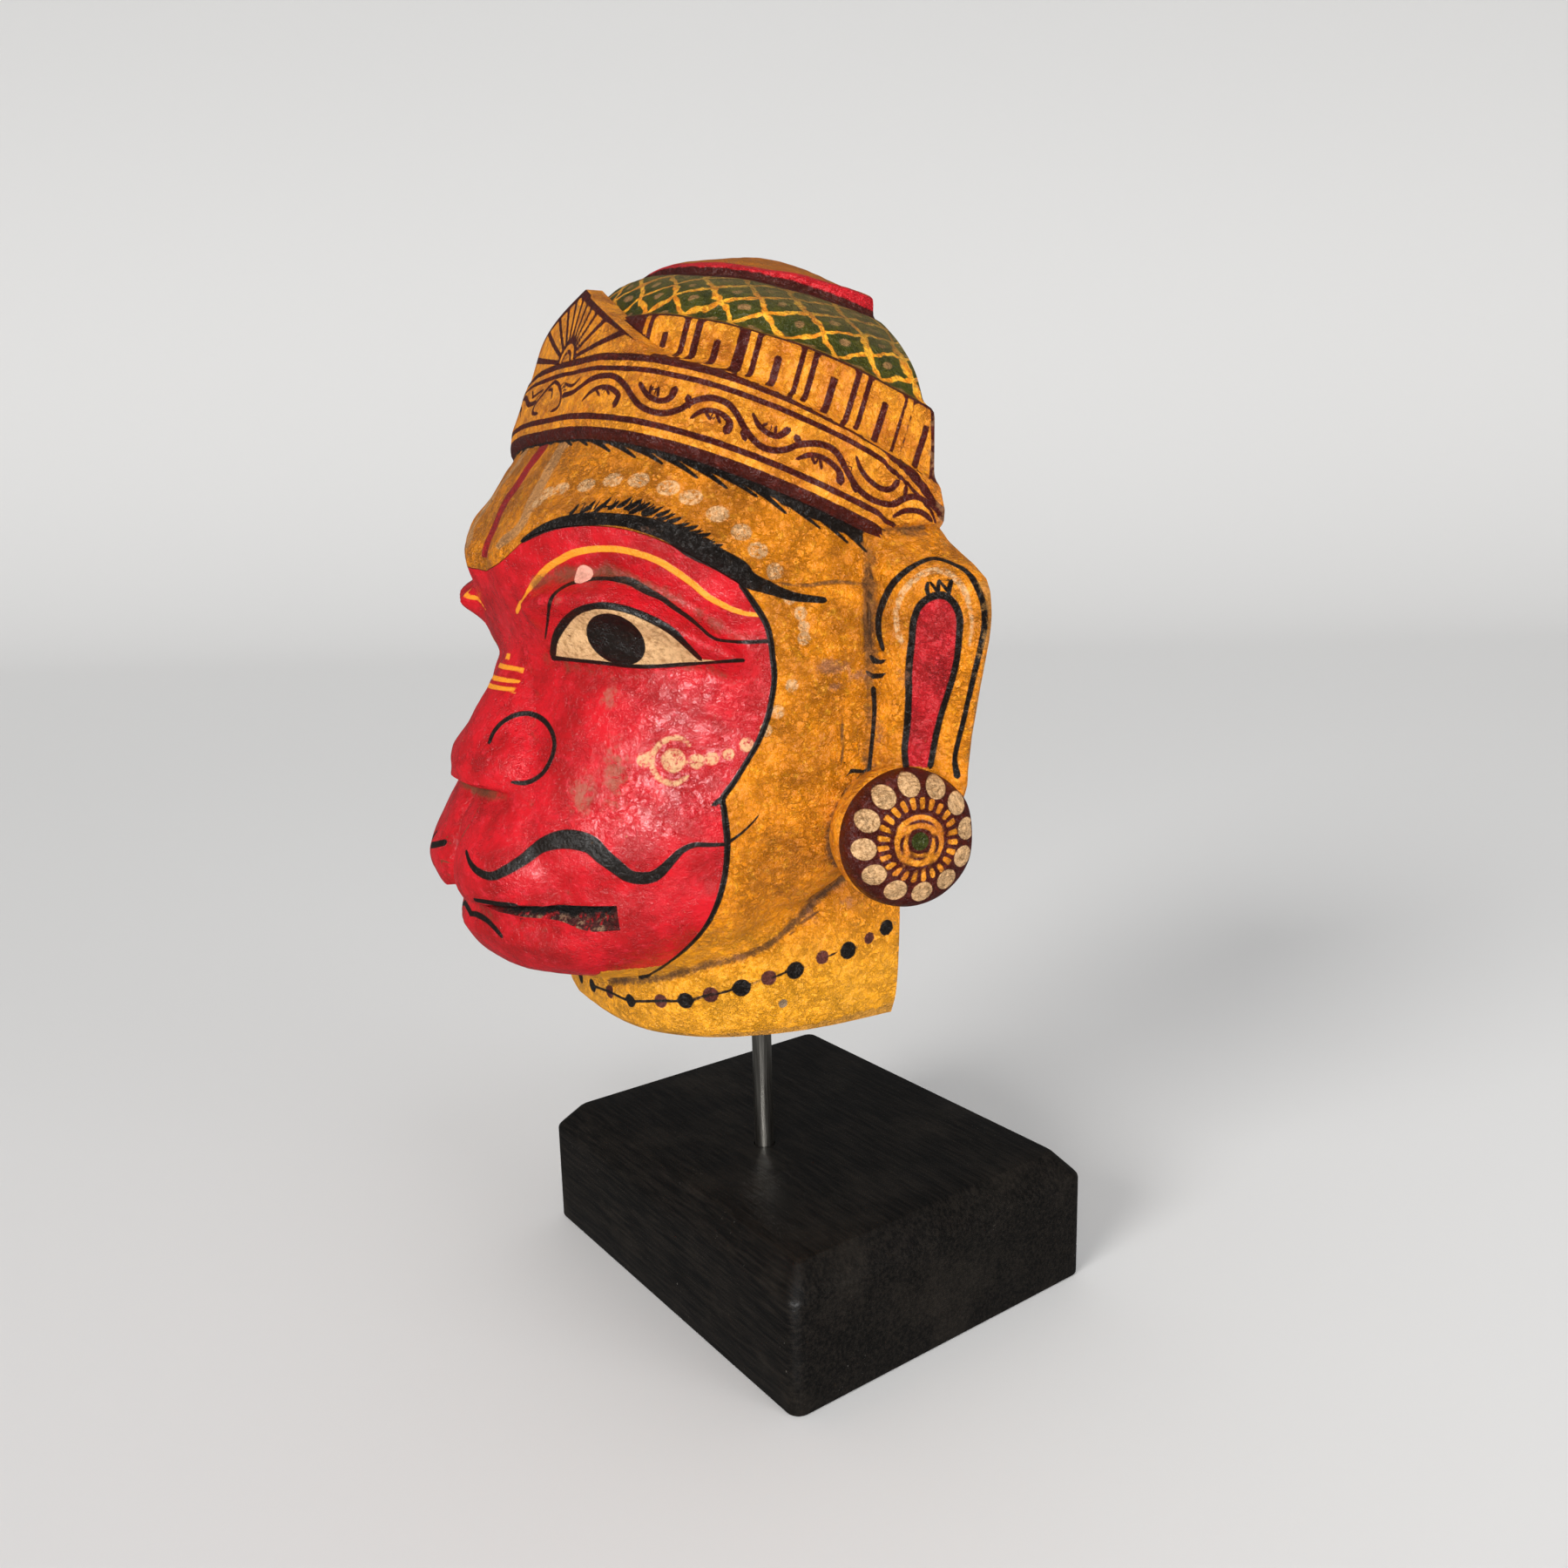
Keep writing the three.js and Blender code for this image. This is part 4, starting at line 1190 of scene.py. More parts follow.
class Look:
    """A procedural material whose colour, roughness and height are built up in layers."""

    def __init__(self, name):
        self.material = bpy.data.materials.new(name)
        self.material.use_nodes = True
        self.tree = self.material.node_tree
        self.shader = self.tree.nodes["Principled BSDF"]
        place = self.tree.nodes.new("ShaderNodeTexCoord")
        self.place = self.stretch(Value(self.tree, place.outputs["Object"]), (1000, 1000, 1000))
        self.colour = None
        self.rough = None
        self.height = None

    def stretch(self, vector, scale, turn=(0, 0, 0)):
        node = self.tree.nodes.new("ShaderNodeMapping")
        node.inputs["Scale"].default_value = scale
        node.inputs["Rotation"].default_value = turn
        vector.put(node.inputs["Vector"])
        return Value(self.tree, node.outputs["Vector"])

    def noise(self, size, detail=3.0, rough=0.55, scale=(1, 1, 1), turn=(0, 0, 0), offset=0.0):
        """Smooth noise from 0 to 1 whose features are about size mm."""
        node = self.tree.nodes.new("ShaderNodeTexNoise")
        node.noise_dimensions = "4D"
        node.inputs["W"].default_value = offset
        node.inputs["Scale"].default_value = 1 / size
        node.inputs["Detail"].default_value = detail
        node.inputs["Roughness"].default_value = rough
        self.stretch(self.place, scale, turn).put(node.inputs["Vector"])
        return Value(self.tree, node.outputs[0])

    def cells(self, size):
        """Distance to the nearest of some scattered points about size mm apart."""
        node = self.tree.nodes.new("ShaderNodeTexVoronoi")
        node.inputs["Scale"].default_value = 1 / size
        self.place.put(node.inputs["Vector"])
        return Value(self.tree, node.outputs["Distance"])

    def split(self, vector):
        node = self.tree.nodes.new("ShaderNodeSeparateXYZ")
        vector.put(node.inputs[0])
        return [Value(self.tree, out) for out in node.outputs]

    def field(self, name):
        """The three numbers stored in a named vector on the mesh."""
        node = self.tree.nodes.new("ShaderNodeAttribute")
        node.attribute_name = name
        return self.split(Value(self.tree, node.outputs["Vector"]))

    def blend(self, mask, low, high):
        """low where mask is 0 and high where it is 1; each a colour or a Value."""
        node = self.tree.nodes.new("ShaderNodeMix")
        node.data_type = "RGBA"
        if isinstance(mask, Value):
            mask.put(node.inputs["Factor"])
        else:
            node.inputs["Factor"].default_value = mask
        for value, socket in ((low, node.inputs[6]), (high, node.inputs[7])):
            if isinstance(value, Value):
                value.put(socket)
            else:
                socket.default_value = value
        return Value(self.tree, node.outputs[2])

    def layer(self, mask, paint, rough=None, height=None):
        """Lays paint over what is there, where mask is 1."""
        self.colour = self.blend(mask, self.colour, paint)
        if rough is not None:
            self.rough = mask * rough + self.rough * mask.flip()
        if height is not None:
            self.height = self.height + mask * height

    def finish(self):
        self.colour.put(self.shader.inputs["Base Color"])
        self.rough.put(self.shader.inputs["Roughness"])
        node = self.tree.nodes.new("ShaderNodeBump")
        node.inputs["Strength"].default_value = 1.0
        node.inputs["Distance"].default_value = MM
        self.height.put(node.inputs["Height"])
        self.tree.links.new(node.outputs["Normal"], self.shader.inputs["Normal"])
        return self.material


OCHRE = colour("#E68800")
# Also the painted light low on the neck
OCHRE_LIGHT = colour("#FCB424")
OCHRE_DEEP = colour("#B86A00")
RED = colour("#C81420")
RED_LIGHT = colour("#DE3040")
RED_DEEP = colour("#9E1014")
BLACK = colour("#160F0A")
BLACK_WORN = colour("#43352A")
MAROON = colour("#480E04")
MAROON_LIGHT = colour("#7A2412")
CREAM = colour("#DAAE7C")
CREAM_DARK = colour("#9A7040")
ORANGE = colour("#EC9418")
ORANGE_DEEP = colour("#C26C08")
GREEN = colour("#4C4A08")
GREEN_DARK = colour("#363C08")
GREEN_DUSTY = colour("#6A5C2E")
OCHRE_PAINTED_SHADE = colour("#945200")
TILAK_TAN = colour("#BE8850")
TAN = colour("#A87838")
PALE_WOOD = colour("#A8784A")
# Dark brown for grime in hollows and cracks, and for painted shade in the jaw's crease and the lip's
# groove
GRIME_AND_SHADE = colour("#5A3818")
DUST = colour("#8E7458")
PINK = colour("#E0A08C")
BROWN_BEAD = colour("#5E2A20")
STEEL = colour("#8F8B84")
EBONY = colour("#060504")
WORN_PAINT = colour("#96644A")
STEEL_STREAK = colour("#C3BFB6")
WOOD_DARK = colour("#5B3D22")
WOOD_LIGHT = colour("#8E6A42")
WOOD_CLOUD = colour("#6E4B2C")
EBONY_GRAIN = colour("#231E19")
EBONY_CLOUD = colour("#3A332B")
EBONY_SCUFF = colour("#8C877F")
FLOOR_PALE = colour("#E6E6E6")
WALL_PALE = colour("#DADADA")

INKS = ("ink_a", "ink_b", "ink_c", "ink_d")
# Heights in mm of the band's painted lines, of the cap's red ring and of the painted shade at its foot,
# and the dome's lattice
BAND_LINES = [(-3, 2.7), (4.4, 5.9), (16.7, 18.0), (19.3, 23)]
LATTICE_WIDTH = 13.0
LATTICE_HEIGHT = 12.0
CAP_RED_TOP = 6.0
CAP_SHADE_TOP = 2.4
CAP_EDGE = 0.3


def ink_mask(look, channels, wobble):
    """1 where any of the brush strokes of these channels lies."""
    total = None
    for channel in channels:
        across, width, _ = look.field(channel)
        mask = (width - across.size() + wobble).step(-0.16, 0.16)
        total = mask if total is None else total.most(mask)
    return total


def start_paint(look, light, middle, deep, patch, crumble=1.0):
    """Hand-mixed paint: patches of three tones, brush marks and a satin skin over a crumbly ground."""
    broad = look.noise(patch, 4, 0.6)
    fine = look.noise(1.6, 4, 0.65, offset=3)
    look.colour = look.blend(broad.step(0.35, 0.62), deep, middle)
    look.colour = look.blend(fine.step(0.5, 0.75) * 0.55, look.colour, light)
    look.colour = look.blend(look.noise(0.7, 3, 0.6, offset=5).step(0.55, 0.8) * 0.35, look.colour, deep)
    look.rough = look.noise(3, 3, offset=7) * 0.34 + 0.22
    look.shader.inputs["Specular IOR Level"].default_value = 0.4
    brush = look.noise(1.1, 4, 0.6, scale=(1, 1, 0.45), turn=(0.5, 0.3, 0), offset=9)
    lumps = look.noise(4.0, 4, 0.62, offset=11)
    grit = look.noise(1.7, 4, 0.7, offset=13)
    flakes = look.noise(3.2, 5, 0.7, offset=15).step(0.46, 0.55)
    wrinkle = look.noise(3.4, 4, 0.68, scale=(1, 1, 1.3), offset=17) - 0.5
    wrinkle = wrinkle.size().step(0.0, 0.05).flip()
    wrinkle = wrinkle * look.noise(8, 3, 0.6, offset=19).step(0.42, 0.6)
    # Painted shade: the colour is darkened in the grooves of the wrinkles
    look.colour = look.blend(wrinkle * 0.3, look.colour, deep)
    look.height = brush * 0.2 + (lumps * 1.7 + grit * 1.0 + flakes * 0.3 - wrinkle * 0.5) * crumble


def soil_paint(look, dirt):
    """Grime in the hollows, laid before the lines are drawn."""
    hollow, _, _ = look.field("wear")
    grime = (hollow * 1.3 + look.noise(3.2, 5, 0.7, offset=23) - 0.2).step(0.42, 0.8) * 0.7
    look.layer(grime, dirt, 0.8)


def age_paint(look, worn, dirt, amount=1.0):
    """Rubbed spots, thin dust in the hollows and fine pits, over everything."""
    hollow, _, _ = look.field("wear")
    rub = look.noise(2.6, 5, 0.7, offset=21)
    rubbed = (rub - hollow * 0.12).step(0.69, 0.77) * 0.55 * amount
    look.layer(rubbed, worn, 0.7, -0.12)
    dust = (hollow * 0.9 + look.noise(2.2, 5, 0.75, offset=33) - 0.2).step(0.5, 0.8) * 0.4
    look.layer(dust, dirt, 0.8)
    speck = look.noise(0.8, 2, 0.5, offset=25).step(0.70, 0.78)
    speck = speck * look.noise(12, 2, offset=27).step(0.5, 0.62)
    look.layer(speck * 0.8, worn, 0.8, -0.1)
    pit = look.cells(3.4).step(0.05, 0.16).flip() * look.noise(15, 2, offset=29).step(0.52, 0.6)
    look.height = look.height - pit * 0.3


def face_look():
    look = Look("painted_face")
    start_paint(look, OCHRE_LIGHT, OCHRE, OCHRE_DEEP, 12, 1.2)
    _, _, climb = look.split(look.place)
    # Painted light and shade: the ochre is painted lighter low on the neck and darker high on the face,
    # as the light fell on them
    look.colour = look.blend(climb.step(108, 138).flip() * 0.55, look.colour, OCHRE_LIGHT)
    look.colour = look.blend(climb.step(212, 236) * 0.25, look.colour, OCHRE_PAINTED_SHADE)
    wobble = (look.noise(1.3, 3, offset=41) - 0.5) * 0.42
    red, eye, pupil = look.field("fill")
    orange, cream, lobe = look.field("tint")
    tilak, stripe, bead = look.field("marks")
    dark_bead, fringe, groove = look.field("marks_b")
    _, chip, grey = look.field("wear")
    broken = look.noise(1.0, 4, 0.65, offset=43)
    cracks, worn, crease = look.field("scores")
    cream_mask = (cream + wobble).step(-0.15, 0.35) * broken.step(0.34, 0.56)
    look.layer((tilak + wobble).step(-0.2, 0.3) * 0.8, TILAK_TAN, 0.6)
    look.layer((stripe + wobble).step(-0.1, 0.2), RED_DEEP, 0.5)
    red_mask = (red + wobble * 0.5).step(-0.15, 0.15)
    look.height = look.height * (red_mask * -0.75 + 1)
    red_tone = look.blend(look.noise(11, 4, 0.6, offset=45).step(0.35, 0.65), RED_DEEP, RED)
    red_tone = look.blend(look.noise(2.2, 4, 0.7, offset=47).step(0.52, 0.72) * 0.5, red_tone, RED_LIGHT)
    look.layer(red_mask, red_tone, 0.26)
    look.layer((lobe + wobble * 0.5).step(-0.15, 0.15), red_tone, 0.42)
    look.layer(cream_mask * 0.82, CREAM, 0.6, 0.08)
    look.layer((orange + wobble * 0.6).step(-0.12, 0.12), ORANGE, 0.5, 0.05)
    eye_white = look.blend(look.noise(1.5, 4, 0.7, offset=49).step(0.42, 0.68) * 0.85, CREAM, CREAM_DARK)
    look.layer((eye + wobble * 0.4).step(-0.1, 0.1), eye_white, 0.5)
    black = look.blend(look.noise(1.4, 4, 0.7, offset=51).step(0.55, 0.75) * 0.6, BLACK, BLACK_WORN)
    look.layer((pupil + wobble * 0.5).step(-0.1, 0.12), black, 0.42)
    look.layer((bead + wobble).step(-0.15, 0.2), BROWN_BEAD, 0.55)
    look.layer((dark_bead + wobble).step(-0.15, 0.2), black, 0.5)
    # Painted shade: a thin dark line in the carved groove of the upper lip
    look.layer((groove + wobble * 0.5).step(-0.1, 0.2) * 0.7, GRIME_AND_SHADE, 0.7)
    soil_paint(look, GRIME_AND_SHADE)
    # Painted shade: a dark line along the crease between jaw and neck
    look.layer((crease + (broken - 0.5) * 2.4).step(-0.3, 0.7) * 0.8, GRIME_AND_SHADE, 0.75)
    ink = ink_mask(look, INKS, wobble * 0.55)
    look.layer(ink.most((fringe + wobble * 1.4).step(-0.2, 0.3)), black, 0.42, 0.06)
    look.layer((chip + wobble).step(-0.1, 0.1), PINK, 0.75, -0.1)
    look.layer((grey + wobble * 0.5).step(-0.1, 0.1), DUST, 0.75)
    rubbed = (worn * 0.05 + look.noise(1.7, 5, 0.75, offset=53)).step(0.47, 0.66)
    look.layer(rubbed * worn.step(-3.5, 2.5) * 0.6, WORN_PAINT, 0.7, -0.1)
    look.layer((cracks + wobble * 0.8).step(-0.2, 0.25) * 0.8, GRIME_AND_SHADE, 0.8, -0.5)
    age_paint(look, TAN, GRIME_AND_SHADE)
    return look.finish()


def lines_at(look, rise, bands, wobble):
    """1 within any of some (low, high) bands of a climb in mm."""
    total = None
    for low, high in bands:
        middle, half = (low + high) / 2, (high - low) / 2
        mask = ((rise - middle).size() * -1 + half + wobble).step(-0.12, 0.12)
        total = mask if total is None else total.most(mask)
    return total


def band_look():
    look = Look("painted_band")
    start_paint(look, OCHRE_LIGHT, ORANGE, ORANGE_DEEP, 8)
    _, rise, _ = look.field("tiers")
    wobble = (look.noise(2.0, 3, offset=61) - 0.5) * 0.6
    maroon = look.blend(look.noise(1.6, 4, 0.7, offset=63).step(0.5, 0.75) * 0.6, MAROON, MAROON_LIGHT)
    soil_paint(look, GRIME_AND_SHADE)
    ink = ink_mask(look, INKS, wobble * 0.4)
    lines = lines_at(look, rise, BAND_LINES, wobble * 0.6)
    look.layer(ink.most(lines), maroon, 0.4, 0.05)
    age_paint(look, PALE_WOOD, GRIME_AND_SHADE, 0.8)
    return look.finish()


def gold_look(name):
    """Maroon ground with orange shapes where the gold field is positive."""
    look = Look(name)
    start_paint(look, OCHRE_LIGHT, ORANGE, ORANGE_DEEP, 7)
    orange = look.colour
    gold, cream, green = look.field("tint")
    wobble = (look.noise(1.2, 3, offset=71) - 0.5) * 0.4
    maroon = look.blend(look.noise(1.4, 4, 0.7, offset=73).step(0.5, 0.75) * 0.6, MAROON, MAROON_LIGHT)
    look.colour = look.blend((gold + wobble).step(-0.14, 0.14), maroon, orange)
    beads = look.blend(look.noise(0.9, 4, 0.7).step(0.4, 0.7), CREAM, CREAM_DARK)
    look.layer((cream + wobble * 0.7).step(-0.12, 0.15), beads, 0.5, 0.1)
    look.layer((green + wobble * 0.5).step(-0.1, 0.1), GREEN_DARK, 0.4)
    ink = ink_mask(look, INKS[:1], wobble * 0.4)
    look.layer(ink, maroon, 0.45)
    age_paint(look, PALE_WOOD, GRIME_AND_SHADE, 0.8)
    return look.finish()


def dome_look():
    look = Look("painted_dome")
    start_paint(look, GREEN_DUSTY, GREEN, GREEN_DARK, 6)
    arc, _, _ = look.field("tiers")
    rise, _, _ = look.field("tiers_b")
    warp = (look.noise(9, 3, offset=81) - 0.5) * 0.85
    first = (arc / LATTICE_WIDTH + rise / LATTICE_HEIGHT + warp).part() - 0.5
    second = (arc / LATTICE_WIDTH - rise / LATTICE_HEIGHT + warp).part() - 0.5
    line = first.size().most(second.size()).step(0.40, 0.44)
    dot = (first * first + second * second).step(0.012, 0.03).flip()
    ochre = look.blend(look.noise(2, 3, offset=83).step(0.4, 0.6), OCHRE, OCHRE_LIGHT)
    look.layer(line, ochre, 0.5, 0.1)
    look.layer(dot * 0.85, CREAM_DARK, 0.6)
    look.layer(rise.step(6, 18) * 0.75, GREEN_DUSTY, 0.7)
    age_paint(look, DUST, GRIME_AND_SHADE)
    return look.finish()


def cap_look():
    look = Look("painted_cap")
    start_paint(look, ORANGE, ORANGE_DEEP, OCHRE_DEEP, 6)
    _, rise, _ = look.field("tiers_b")
    wobble = (look.noise(3.0, 3, offset=91) - 0.5) * 1.6
    look.layer((rise + wobble).step(CAP_RED_TOP - CAP_EDGE, CAP_RED_TOP + CAP_EDGE).flip(), RED, 0.4)
    # Painted shade: the cap's foot is painted dark maroon, in the crevice where it meets the dome
    look.layer((rise + wobble).step(CAP_SHADE_TOP - CAP_EDGE, CAP_SHADE_TOP + CAP_EDGE).flip(), MAROON, 0.5)
    age_paint(look, PALE_WOOD, GRIME_AND_SHADE)
    return look.finish()


def mouth_look():
    """Red paint with dark upright chips, black under the upper lip and brown at the corner."""
    look = Look("mouth")
    start_paint(look, RED_LIGHT, RED, RED_DEEP, 5)
    depth, below, turned = look.field("wear_b")
    ragged = look.noise(2.0, 3, scale=(1, 1, 0.35), offset=95) - 0.5
    chips = (ragged * 3 + 0.25).step(0.0, 0.25) * (turned + ragged * 12).step(10, 15)
    bare = look.blend(look.noise(1.6, 4, 0.7, offset=97).step(0.5, 0.62), BLACK, DUST)
    look.layer(chips * 0.9, bare, 0.8, -0.3)
    dark = (below * -1 + 1.6 + ragged * 2.2).step(0.0, 0.5)
    look.layer(dark.most((depth + ragged * 3).step(3.4, 4.6)), BLACK, 0.6)
    look.layer((turned + ragged * 3).step(36, 38) * 0.85, MAROON, 0.7)
    return look.finish()


def bare_look():
    """Sawn and planed wood, darkened by age, with the grain upright."""
    look = Look("bare_wood")
    grain = look.noise(1.2, 5, 0.65, scale=(1, 1, 0.06), offset=101)
    broad = look.noise(14, 3, 0.6, scale=(1, 1, 0.2), offset=103)
    look.colour = look.blend(grain.step(0.3, 0.7), WOOD_DARK, WOOD_LIGHT)
    look.colour = look.blend(broad.step(0.4, 0.7) * 0.6, look.colour, WOOD_CLOUD)
    look.rough = grain * 0.2 + 0.65
    look.height = grain * 0.6 + look.noise(9, 3, offset=105) * 0.8
    crack = look.noise(5, 3, 0.6, scale=(1, 1, 0.05), offset=107).step(0.495, 0.505)
    look.height = look.height - (crack - crack * crack) * 2
    return look.finish()


def steel_look():
    look = Look("brushed_steel")
    look.shader.inputs["Metallic"].default_value = 1.0
    streak = look.noise(0.5, 3, 0.6, scale=(1, 1, 0.03), offset=111)
    look.colour = look.blend(streak.step(0.3, 0.7), STEEL, STEEL_STREAK)
    look.rough = streak * 0.2 + 0.2
    look.height = streak * 0.06
    return look.finish()


def base_look():
    """Black stained wood: faint grain, a soft sheen, dust and pale scuffs."""
    look = Look("black_wood")
    grain = look.noise(0.9, 5, 0.65, scale=(0.08, 1, 1), offset=121)
    look.colour = look.blend(grain.step(0.35, 0.7) * 0.7, EBONY, EBONY_GRAIN)
    look.rough = look.noise(16, 3, offset=123) * 0.25 + 0.36
    look.shader.inputs["Specular IOR Level"].default_value = 0.3
    look.height = grain * 0.12 + look.noise(7, 2, offset=125) * 0.3
    cloud = look.noise(22, 4, 0.6, offset=127).step(0.48, 0.7)
    look.layer(cloud * 0.2, EBONY_CLOUD, 0.6)
    scuff = look.noise(1.0, 4, 0.75, scale=(1, 1, 0.5), offset=129).step(0.63, 0.7)
    near = look.noise(18, 3, 0.6, offset=131).step(0.56, 0.66)
    look.layer(scuff * near * 0.7, EBONY_SCUFF, 0.7)
    return look.finish()


# Putting the head together


def assign_zones(made, zones):
    made.data.polygons.foreach_set("material_index", np.array(zones, np.int32))


def zone_object(name, shape, zone, materials):
    """A solid to join or cut with, whose faces all belong to one zone."""
    made = mesh_object(name, *shape, materials)
    assign_zones(made, [ZONES.index(zone)] * len(made.data.polygons))
    return made


def carve_head(materials):
    verts, faces, zones, fields = make_skin()
    head = mesh_object("head_carving", verts, faces, materials)
    assign_zones(head, zones)
    combine(head, zone_object("crest_cut", make_crest(), "crest", materials), "UNION")
    for side in (-1, 1):
        earring = zone_object("earring_cut", make_earring(side), "earring", materials)
        behind = zone_object("behind_cut", box_solid(*BEHIND_EARRING), "bare", materials)
        combine(earring, behind, "DIFFERENCE")
        combine(head, earring, "UNION")
    combine(head, zone_object("mouth_cut", make_mouth_cut(), "mouth", materials), "DIFFERENCE")
    radius = ROD_RADIUS + CLEARANCE
    socket = tube([(NECK_UNDERSIDE - 5, radius), (ROD_TOP + CLEARANCE, radius)])
    combine(head, zone_object("socket_cut", socket, "bare", materials), "DIFFERENCE")
    for polygon in head.data.polygons:
        if polygon.material_index == ZONES.index("band"):
            _, y, z = polygon.center
            if y > ROOT_START_Y and z < np.interp(y, ROOT_EDGE_Y, ROOT_EDGE_Z):
                polygon.material_index = ZONES.index("face")
    tree = nearest_tree(verts)
    nearest = [tree.find(v.co)[1] for v in head.data.vertices]
    return head, fields[nearest]


def score_head(head):
    """Cuts the crease between jaw and neck and nicks the cracks into the surface."""
    canvas = Canvas(head)
    push = CREASE_DEPTH * np.exp(-((canvas.gap_to(canvas.drop(JAW_CREASE)[0]) / CREASE_WIDTH) ** 2))
    near = canvas.points[:, 0] > 0
    for points in CRACKS:
        gap = canvas.gap_to(canvas.drop(points)[0], 4)
        push = push + near * CRACK_DEPTH * np.exp(-((gap / CRACK_WIDTH) ** 2))
    moved = canvas.points - canvas.normals * canvas.fold * push[:, None]
    head.data.vertices.foreach_set("co", moved.ravel())
    head.data.update()
    bpy.context.view_layer.update()


def paint_ink(canvas):
    """The dark brush lines, shared out over four channels so that crossing lines don't mix."""
    vine = [(*pixel, VINE_HALF_WIDTH) for pixel in VINE]
    hairs = brow_feathers() + fringe_strokes()
    inks = {
        "ink_a": [BROW_LINE, NOSTRIL, CHIN_ARC, LIP_DASH, EAR_LINE, EAR_TICKS[0], LID_LINE, vine],
        "ink_b": [CONTOUR, EYE_TOP, EAR_FRONT_LINE, EAR_LOBE, LIP_EDGE, MEDALLION, *VINE_LEAVES],
        "ink_c": [MOUSTACHE, EYE_BOTTOM, EAR_TICKS[1], *EAR_HAIRS, MEDALLION_MARK, *VINE_HOOKS]
        + hairs[::2],
        "ink_d": [WHISKER, CONTOUR_SPUR, *hairs[1::2]],
    }
    for channel in INKS:
        canvas.strokes(channel, *inks[channel])
        canvas.save(channel, *canvas.ink[channel].T)


def paint_areas(canvas):
    """The red of the muzzle and jaw, the eye and its pupil. Returns the ear's lobe, which shares
    its vector with the green of the earrings."""
    points = canvas.points
    red = canvas.region(RED_TOP + [row[:2] for row in CONTOUR], RED_CLOSING)
    under = -points[:, 1] - RED_UNDER_Y - RED_UNDER_SLOPE * (points[:, 2] - RED_UNDER_Z)
    red = np.where(points[:, 2] < RED_UNDER_TOP, np.minimum(red, under), red)
    eye = canvas.region([row[:2] for row in EYE_TOP + EYE_BOTTOM[::-1]])
    lobe = canvas.region([row[:2] for row in EAR_LOBE])
    u, v, wide, high, turn = PUPIL
    du, dv = canvas.pixels[:, 0] - u, canvas.pixels[:, 1] - v
    c, s = math.cos(math.radians(turn)), math.sin(math.radians(turn))
    across, down = (du * c + dv * s) / wide, (-du * s + dv * c) / high
    pupil = (1 - np.hypot(across, down)) * high / PIXELS_PER_MM
    pupil = np.where(eye > -PUPIL_MARGIN, pupil, -FAR)
    canvas.save("fill", red, eye, pupil)
    return lobe


def paint_marks(canvas, arc, band):
    """Forehead mark and stripe, necklace, groove beside the muzzle and hair under the crown."""
    height = canvas.folded[:, 2]
    tilak = canvas.cover("tilak", TILAK_ARM)
    half = np.interp(height, STRIPE_HEIGHTS, STRIPE_HALVES)
    stripe = np.minimum(half - canvas.folded[:, 0], height - STRIPE_HEIGHTS[0])
    stripe = np.where(canvas.normals[:, 1] < 0, stripe, -FAR)
    brown = canvas.dots([row[:3] for row in NECKLACE if not row[3]])
    dark = canvas.dots([row[:3] for row in NECKLACE if row[3]])
    thread = canvas.cover("thread", [(row[0], row[1], THREAD_HALF_WIDTH) for row in NECKLACE])
    # Painted shade: the groove of the upper lip is drawn as a thin dark line
    groove = canvas.cover("groove", GROOVE_LINE)
    drop = np.interp(canvas.pixels[:, 0], FRINGE_U, FRINGE_DROP)
    fringe = np.where(band < 0, band + BAND_STEP + drop - FRINGE_WAVE * np.sin(arc * FRINGE_TURNS), -FAR)
    fringe = np.minimum(fringe, FRINGE_END - canvas.points[:, 1])
    canvas.save("marks", tilak, stripe, brown)
    canvas.save("marks_b", np.maximum(dark, thread), fringe, groove)


def paint_wear(canvas):
    """Hollows, the chip and the grey spot, cracks, rubbed spots and the crease under the jaw."""
    chip, grey = [canvas.near_side(canvas.dots([spot])) for spot in (CHIP_SPOT, GREY_SPOT)]
    canvas.save("wear", hollowness(canvas.mesh), chip, grey)
    cracks = canvas.near_side(canvas.cover("cracks", *CRACKS))
    worn = canvas.near_side(canvas.dots(WORN_SPOTS))
    # Painted shade: the crease under the jaw is drawn dark from this field
    crease = 1 - canvas.gap_to(canvas.drop(JAW_CREASE)[0])
    canvas.save("scores", cracks, worn, crease)


def paint_mouth(canvas):
    """How deep in the mouth, how far below the upper lip and how far round each vertex lies."""
    depth, below, turned = np.outer([0.0, FAR, 0.0], np.ones(len(canvas.points)))
    for i, (x, y, z) in enumerate(canvas.points):
        if y < MOUTH_BACK_Y and MOUTH_HEIGHTS[0] < z < MOUTH_HEIGHTS[1]:
            angle = math.atan2(x, FACE_AXIS_Y - y)
            if abs(angle) < math.radians(MOUTH_CORNER_ANGLE + 2):
                depth[i] = mouth_radius(angle) - math.hypot(x, y - FACE_AXIS_Y)
                turned[i] = abs(math.degrees(angle))
                below[i] = np.interp(turned[i], MOUTH_ANGLES, MOUTH_TOPS) - z
    canvas.save("wear_b", depth, below, turned)


def paint_head(head, fields):
    """Stores every painted form as named vectors on the mesh, for the looks to read."""
    score_head(head)
    canvas = Canvas(head)
    paint_ink(canvas)
    lobe = paint_areas(canvas)
    arc, _, band, _, dome, cap = fields.T
    canvas.save("tiers", arc, band)
    canvas.save("tiers_b", dome, cap)
    orange = canvas.cover("orange", ORANGE_ARC, *NOSE_BARS)
    cream = canvas.cover("cream", EAR_CREAM, PENDANT_RING)
    cream = np.maximum(cream, canvas.dots(FOREHEAD_DOTS + PENDANT_DOTS))
    canvas.save("tint", *add_gold(canvas, fields, orange, cream, lobe))
    paint_marks(canvas, arc, band)
    paint_wear(canvas)
    paint_mouth(canvas)


